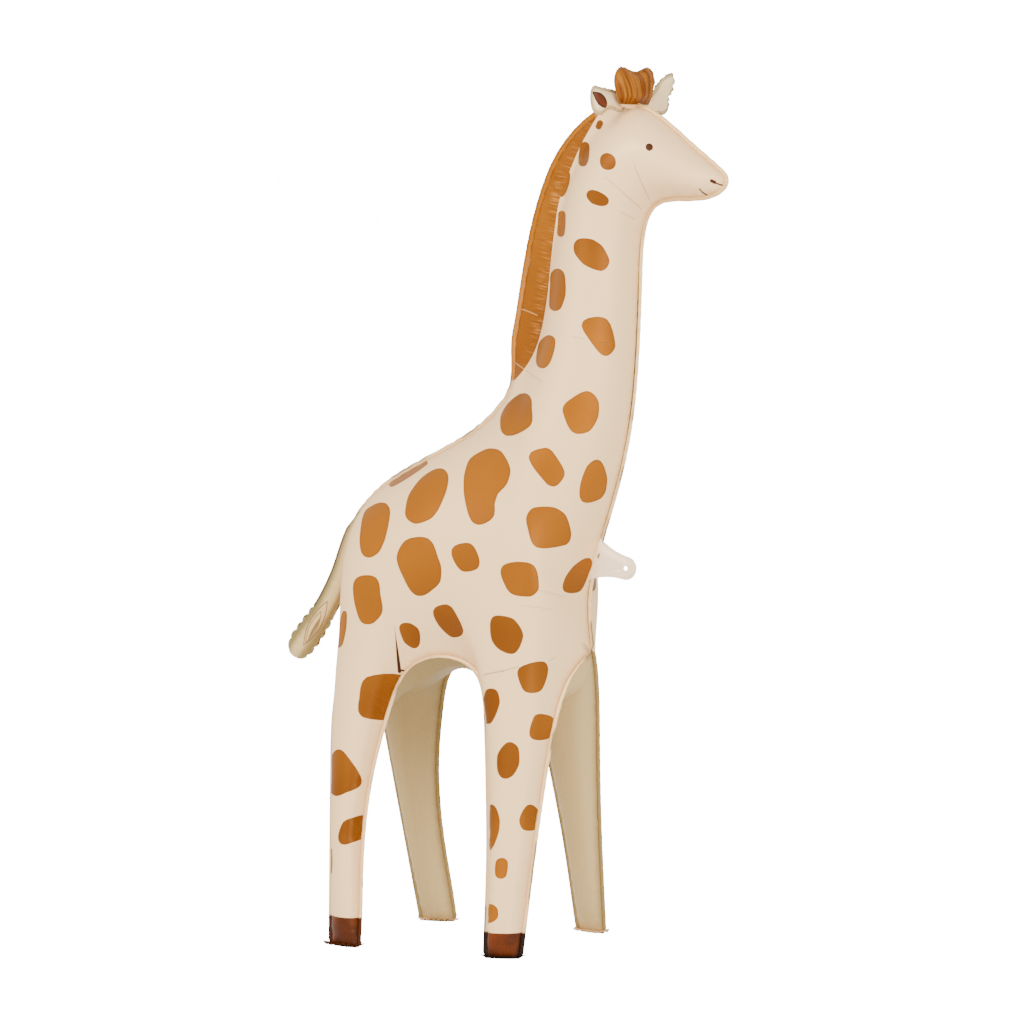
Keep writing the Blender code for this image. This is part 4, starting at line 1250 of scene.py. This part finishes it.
# %% Sizes of the horns and ears
CROWN = (15.7, 95.8)
HORN_TURN, HORN_LEAN = math.radians(-8.0), math.radians(3.0)
HORN_LOBES = {"right": (2.6, 1.5), "left": (2.45, 1.3)}
HORN_NOTCH, HORN_CENTRE, HORN_HALF_THICKNESS = 0.75, (-0.2, 1.2), 0.95
HORN_BASE = {"right": (3.3, 0.1), "left": (2.3, 0.0)}
HORN_TONGUE = (1.0, -0.15)
EAR_TURN = math.radians(-15.0)
EAR_ROOT = {"right": (2.2, -0.6), "left": (2.8, 0.0)}
EAR_RISE = {"right": math.radians(11.0), "left": math.radians(36.0)}
EAR_CORNERS = {
    "right": ((-0.6, 1.5), (1.3, 1.7), (3.2, 1.35), (4.5, 1.45), (4.8, 0.8), (4.5, -0.7), (3.55, -1.4),
              (2.7, -0.8), (1.9, 0.0), (0.6, 0.1), (-0.9, 0.0)),
    "left": ((-0.9, 0.4), (1.8, 0.55), (3.4, 1.0), (4.6, 0.9), (6.2, 0.45), (5.4, -0.35), (4.0, -0.95),
             (3.3, -1.3), (2.9, -2.1), (1.8, -2.0), (0.9, -1.0), (-0.9, -1.4)),
}
EAR_CENTRE = {"right": (2.7, 0.2), "left": (2.8, -0.3)}
EAR_HALF_THICKNESS, EAR_BEHIND = 0.55, 0.6
EAR_RUFFLE = {"right": 1.0, "left": 2.2}
OUTLINE_POINTS = 180
PILLOW_KEYS = ("seam", "run", "edge", "across", "up")
PILLOW_SHARES = (1.0, 0.985, 0.95, 0.90, 0.83, 0.74, 0.63, 0.50, 0.36, 0.20, 0.08)


# %% Pillow inside an outline
def smooth_outline(corners, count):
    """A closed outline through corners, rounded and evenly spaced, counter-clockwise."""
    points = merge_loop([Vector(c) for c in corners], 4)
    loop = np.array([tuple(p) for p in points + points[:1]])
    run = np.concatenate(([0.0], np.cumsum(np.linalg.norm(np.diff(loop, axis=0), axis=1))))
    at = np.linspace(0.0, run[-1], count, endpoint=False)
    even = np.stack([np.interp(at, run, loop[:, 0]), np.interp(at, run, loop[:, 1])], axis=1)
    area = np.sum(even[:, 0] * np.roll(even[:, 1], -1) - even[:, 1] * np.roll(even[:, 0], -1))
    return even if area > 0.0 else even[::-1]


def pillow_mesh(name, outline, centre, half_thickness, place, seed, relief=None, slim=None, ruffle=1.0):
    """Blown-up pillow with its welded, rippled border."""
    count = len(outline)
    centre = np.array(centre)
    along = np.roll(outline, -1, axis=0) - np.roll(outline, 1, axis=0)
    along /= np.linalg.norm(along, axis=1)[:, None]
    outward = np.stack([along[:, 1], -along[:, 0]], axis=1)
    run = np.concatenate(([0.0], np.cumsum(np.linalg.norm(np.diff(outline, axis=0), axis=1))))
    turns = [math.tau * k / count for k in range(count)]
    wave = np.array([noise.noise(Vector((math.cos(a) * 5.0, math.sin(a) * 5.0, seed))) for a in turns])
    fine = np.array([noise.noise(Vector((r * 190.0, seed, 9.0))) for r in run])
    rings, values = [], []

    def add_ring(flat, heights, seam_gap, edge):
        rings.append([place @ Vector((h, *p)) for h, p in zip(heights, flat)])
        values.extend((seam_gap[k], run[k], edge, flat[k][0], flat[k][1]) for k in range(count))

    for side in (1.0, -1.0):
        group = []
        for share in PILLOW_SHARES:
            flat = centre + (outline - centre) * share
            dome = half_thickness * (1.0 - share ** 2) ** 0.6 * (1.0 if slim is None else slim(flat))
            gather = (1.0 - share) * share ** 6 * 4.0
            heights = FOIL / 2.0 + dome * (1.0 + 0.5 * gather * wave + 0.25 * gather * fine)
            if relief is not None:
                heights = heights + relief(flat) * (1.0 - share ** 4)
            heights = np.maximum(heights, FOIL / 2.0)
            gap = np.linalg.norm(outline - flat, axis=1)
            group.append((flat, heights * side, gap, 0.0))
        border_rings = []
        for share in (0.5, 1.0):
            reach = SMALL_BORDER * share * (1.0 + ruffle * (0.25 * wave + 0.3 * fine))
            flat = outline + outward * reach[:, None]
            bend = (wave * 0.0012 + fine * 0.0008) * share
            border_rings.append((flat, bend + side * FOIL / 2.0, np.zeros(count), share))
        ordered = group[::-1] + border_rings if side > 0 else border_rings[::-1] + group
        for item in ordered:
            add_ring(*item)
    mesh = bmesh.new()
    loops = [[mesh.verts.new(p) for p in ring] for ring in rings]
    join_rings(mesh, loops)
    for loop_verts, side in ((loops[0], 1.0), (loops[-1], -1.0)):
        middle_height = half_thickness + (relief(centre[None, :])[0] if relief is not None else 0.0)
        top = mesh.verts.new(place @ Vector((side * (middle_height + FOIL / 2.0), *centre)))
        values.append((0.02, 0.0, 0.0, centre[0], centre[1]))
        for k in range(count):
            mesh.faces.new((loop_verts[k], loop_verts[(k + 1) % count], top))
    return finished(mesh, name, PILLOW_KEYS, values)


# %% Paint of the horns and ears
def horn_foil():
    """Brown foil with upright streaks that run together at the base, flecks of painted highlight and shade,
    and painted shade at the base.
    """
    paint = Paint("horn foil")
    up = paint.attribute("up")
    across = paint.attribute("across") / (up * 0.35 + 0.032)
    streak = paint.grain(1.0, 1.0, paint.combine(across * 5.0, up * 10.0, 0.0))
    fine = paint.grain(1.0, 1.0, paint.combine(across * 13.0, up * 16.0, 4.0))
    colour = paint.mix(paint.span(streak, 0.38, 0.58, 0.0, 1.0), srgb(108, 54, 0), srgb(148, 86, 4))
    # Painted highlights and shade in fine flecks
    colour = paint.mix(paint.span(fine, 0.60, 0.70, 0.0, 0.35), colour, srgb(180, 118, 40))
    colour = paint.mix(paint.span(fine, 0.32, 0.42, 0.5, 0.0), colour, srgb(74, 32, 0))
    # Painted shade at the base, where the horns sit in the crown
    colour = paint.mix(paint.span(up, 0.002, 0.012, 0.55, 0.0), colour, srgb(70, 30, 0))
    colour = paint.mix(paint.attribute("edge") * 0.4, colour, srgb(150, 100, 44))
    colour = paint.mix(paint.span(up, 0.0002, 0.0010, 1.0, 0.0), colour, CREAM)
    height = (streak - 0.5) * 2.4 + (fine - 0.5) * 0.9
    return paint.finish(colour, 0.50, 0.25, height)


def ear_foil(side):
    """Cream foil with a border in painted shade, darker outward and at the weld; the right ear's face has a
    brown leaf.
    """
    paint = Paint("ear foil " + side)
    edge = paint.attribute("edge")
    cloud = paint.grain(20.0, 2.0)
    colour = paint.mix(paint.span(cloud, 0.3, 0.7, 0.0, 0.5), srgb(240, 208, 160), srgb(222, 190, 138))
    # Painted shade on the crinkled border, darker toward its rim and far darker on the left ear
    rim = {"right": srgb(200, 172, 122), "left": srgb(96, 86, 54)}[side]
    patch = paint.grain(1.0, 1.0, paint.combine(paint.attribute("run") * 130.0, 0.0, 0.0))
    rim_share = paint.span(edge, 0.2, 0.8, 0.0, 1.0) * paint.span(patch, 0.35, 0.55, 0.45, 1.0)
    colour = paint.mix(rim_share, colour, rim)
    # Painted shade at the root of the weld
    colour = paint.mix(paint.span(paint.attribute("seam"), 0.0, 0.0025, 0.45, 0.0), colour, KHAKI_SHADE)
    shape = leaf((paint.attribute("across"), paint.attribute("up")), *EAR_LEAF)
    brown = paint.mix(paint.span(shape, -0.004, -0.001, 0.0, 1.0), srgb(92, 38, 16), srgb(54, 22, 8))
    brown = paint.mix(paint.span(paint.attribute("up"), -0.004, 0.008, 0.0, 0.45), brown, srgb(50, 24, 12))
    colour = paint.mix(shape.below(0.0, 0.0006) * paint.attribute("front"), colour, brown)
    height = (paint.grain(70.0, 2.0) - 0.5) * 0.5 + (patch - 0.5) * edge * 1.5
    return paint.finish(colour, 0.44, 0.15, height)


# %% Horns
top = FIGURE_TOP - CROWN[1] - SMALL_BORDER / SHARE - HORN_LOBES["left"][0] * math.sin(HORN_LEAN)
corners = [Vector((0.0, top - HORN_NOTCH))]
for side, sign in (("left", 1.0), ("right", -1.0)):
    apart, radius = HORN_LOBES[side]
    lobe = [Vector((apart + math.cos(a) * radius, top + (math.sin(a) - 1.0) * radius))
            for a in (math.radians(d) for d in range(122, -39, -32))]
    lobe += [Vector(HORN_BASE[side]), Vector(HORN_TONGUE)]
    lobe = [Vector((p.x * sign, p.y)) for p in lobe]
    corners += lobe if side == "left" else lobe[::-1]
horn_outline = smooth_outline([p * SHARE for p in corners], OUTLINE_POINTS)
horn_place = (Matrix.Translation(placed(CROWN[0], 0.0, CROWN[1])) @ Matrix.Rotation(HORN_TURN, 4, "Z")
              @ Matrix.Rotation(HORN_LEAN, 4, "X"))


def pleats(flat):
    """Upright folds that run together at the base of the horns."""
    across = flat[:, 0] / (flat[:, 1] * 0.35 + 0.032)
    drift = np.array([noise.noise(Vector((a * 3.0, u * 25.0, 6.0))) for a, u in zip(across, flat[:, 1])])
    return 0.0018 * np.cos(across * 13.0 + drift * 3.0) * np.clip(flat[:, 1] / 0.05 + 0.4, 0.0, 1.0)


def thin_foot(flat):
    """The horns are flat where they are set into the crown."""
    return np.clip((flat[:, 1] + 0.003) / 0.014, 0.1, 1.0)


horn_data = pillow_mesh("horns_foil", horn_outline, tuple(v * SHARE for v in HORN_CENTRE),
                        HORN_HALF_THICKNESS * SHARE, horn_place, 11.0, relief=pleats, slim=thin_foot)
add_piece("horns_foil", horn_data, "horns", horn_foil())

# %% Ears
# Leaf on the right ear: its two ends and half its width, in metres from the ear's root
EAR_LEAF = ((-0.0570, 0.0100), (-0.0295, -0.0062), 0.0078)
for side, sign in (("right", -1.0), ("left", 1.0)):
    corners = [Vector((out * sign, up)) * SHARE for out, up in EAR_CORNERS[side]]
    outline = smooth_outline(corners, OUTLINE_POINTS)
    apart, up = EAR_ROOT[side]
    ear_place = (Matrix.Translation(placed(CROWN[0] - EAR_BEHIND, 0.0, CROWN[1]))
                 @ Matrix.Rotation(EAR_TURN, 4, "Z")
                 @ Matrix.Translation(Vector((0.0, sign * apart, up)) * SHARE)
                 @ Matrix.Rotation(sign * EAR_RISE[side], 4, "X"))
    out, up = EAR_CENTRE[side]
    ear_data = pillow_mesh("ear_%s_foil" % side, outline, (sign * out * SHARE, up * SHARE),
                           EAR_HALF_THICKNESS * SHARE, ear_place, 20.0 + sign, ruffle=EAR_RUFFLE[side])
    local = np.array([ear_place.inverted() @ v.co for v in ear_data.vertices])
    store(ear_data, "front", (local[:, 0] > 0.0) * (side == "right"))
    add_piece("ear_%s_foil" % side, ear_data, "ear_" + side, ear_foil(side))
print("horns and ears:", OUTLINE_POINTS, "points round each outline")

# %% [markdown]
# ## Tail
#
# A slim tube welded along both edges, with a scalloped tuft whose hair is printed as nested leaves. A curve
# with a round bevel could make the tube, but not its flat borders, so one section is carried along its line.

# %% Sizes of the tail
TAIL_LINE = {0: (-19.4, 50.4), 1: (-21.2, 46.1), 2: (-22.7, 41.9), 3: (-24.7, 38.1), 4: (-26.9, 35.1),
             5: (-29.2, 32.4)}
TAIL_HALF_WIDTH = {0: 0.6, 1: 0.95, 2: 1.1, 3: 1.2, 4: 1.45, 4.7: 1.25, 5: 0.6}
TAIL_DEPTH = 0.75
TUFT_FROM, TAIL_SPREAD = 3.2, 0.9
TAIL_RINGS, TAIL_END = 150, 5.0
HALF_ROUND = 12
SCALLOP = 0.0155
# Leaves printed on the tuft: two ends and half the width, in steps of the picture
TAIL_LEAVES = (((327.3, 601.5), (303.7, 645.0), 6.0), ((321.0, 611.5), (305.8, 642.5), 3.8))
TAIL_STRIPE = ((321.5, 616.0), (307.5, 640.5), 1.5)


# %% Tube of the tail
def tail_mesh():
    """The tail's tube with its border, ring by ring from the rump to the tip of the tuft."""
    mesh = bmesh.new()
    rings, values = [], []
    run = 0.0
    previous = None
    for k in range(TAIL_RINGS + 1):
        at = TAIL_END * k / TAIL_RINGS
        spot = through(TAIL_LINE, at)
        forward = through(TAIL_LINE, min(at + 0.05, TAIL_END)) - through(TAIL_LINE, max(at - 0.05, 0.0))
        across = Vector((forward.y, 0.0, -forward.x)).normalized()
        centre = placed(spot.x, 0.0, spot.y)
        run += (centre - previous).length if previous is not None else 0.0
        previous = centre
        narrow = min(1.0, 0.15 + at / TAIL_SPREAD)
        half_width = through(TAIL_HALF_WIDTH, at) * SHARE * narrow
        deep = half_width * TAIL_DEPTH
        fine = noise.noise(Vector((run * 150.0, 31.0, 0.0)))
        wide = SMALL_BORDER * (1.0 + 0.15 * fine) * narrow
        if at > TUFT_FROM:
            wide = SMALL_BORDER * (0.35 + 0.85 * abs(math.sin(run / SCALLOP * math.pi + 0.5 * fine)) ** 0.7)
        gather = 1.0 + 0.03 * math.sin(run * 520.0) + 0.05 * fine
        face = []
        for m in range(HALF_ROUND + 1):
            angle = math.pi * m / HALF_ROUND
            u = half_width * math.cos(angle)
            rise = deep * abs(math.sin(angle)) ** 0.85 * (gather if m % HALF_ROUND else 1.0)
            face.append((u, FOIL / 2.0 + rise, half_width - abs(u), 0.0))
        rims = [(sign * (half_width + wide), FOIL / 2.0, 0.0, 1.0) for sign in (1.0, -1.0)]
        face = rims[:1] + face + rims[1:]
        outline = face + [(u, -y, gap, edge) for u, y, gap, edge in reversed(face)]
        ring = []
        for u, y, gap, edge in outline:
            bend = 0.0008 * fine * edge
            ring.append(mesh.verts.new(centre + across * u + Vector((0.0, y + bend, 0.0))))
            values.append((gap, run, edge, u, at))
        rings.append(ring)
    join_rings(mesh, rings)
    mesh.faces.new(rings[0])
    mesh.faces.new(rings[-1])
    return finished(mesh, "tail_foil", PILLOW_KEYS, values)


# %% Paint of the tail
def tail_foil():
    """Cream foil with painted shade, olive toward the right edge and darker at the edges and border, with
    nested leaves printed on the tuft.
    """
    paint = Paint("tail foil")
    edge = paint.attribute("edge")
    across = paint.attribute("across")
    cloud = paint.grain(12.0, 2.0)
    colour = paint.mix(paint.span(cloud, 0.3, 0.7, 0.0, 0.6), srgb(212, 180, 122), srgb(192, 162, 106))
    # Painted shade: olive toward the right edge, darker at the left edge
    colour = paint.mix(paint.span(across, -0.002, 0.011, 0.0, 0.85), colour, srgb(108, 94, 42))
    colour = paint.mix(paint.span(across, -0.014, -0.008, 0.7, 0.0), colour, srgb(140, 116, 62))
    on_tuft = paint.span(paint.attribute("up"), TUFT_FROM - 0.1, TUFT_FROM + 0.15, 0.0, 1.0)
    patch = paint.grain(1.0, 1.0, paint.combine(paint.attribute("run") * 90.0, 0.0, 0.0))
    # Painted shade on the crinkled border and in the weld on the right of the tube
    rim = paint.mix(paint.span(patch, 0.40, 0.60, 0.0, 1.0), srgb(190, 160, 108), srgb(100, 78, 40))
    colour = paint.mix(paint.span(edge, 0.1, 0.6, 0.0, 0.85), colour, rim)
    colour = paint.mix(paint.span(across, 0.011, 0.014, 0.0, 0.9) * (1.0 - on_tuft), colour, srgb(98, 70, 36))
    place = paint.seen()
    colour = paint.mix(leaf(place, *TAIL_STRIPE).below(0.0, 0.7) * 0.9, colour, srgb(122, 92, 44))
    for shape, line in zip(TAIL_LEAVES, (0.5, 0.4)):
        rim_line = paint.math("ABSOLUTE", leaf(place, *shape)).below(line, 0.6)
        colour = paint.mix(rim_line * 0.85, colour, srgb(126, 76, 40))
    height = (paint.grain(60.0, 2.0) - 0.5) * 0.5 + (patch - 0.5) * paint.span(edge, 0.0, 0.3, 0.2, 1.2)
    return paint.finish(colour, 0.44, 0.15, height)


# %% Tail
tail_data = tail_mesh()
add_piece("tail_foil", tail_data, "tail", tail_foil())
print("tail", len(tail_data.polygons), "faces")

# %% [markdown]
# ## Finish
#
# The visual model's box is printed beside the solids' box.

# %% Finish
visual_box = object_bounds()
for name, box in (("solids", cad_box), ("visible", visual_box)):
    print(name, [round(v, 4) for corner in box for v in corner])
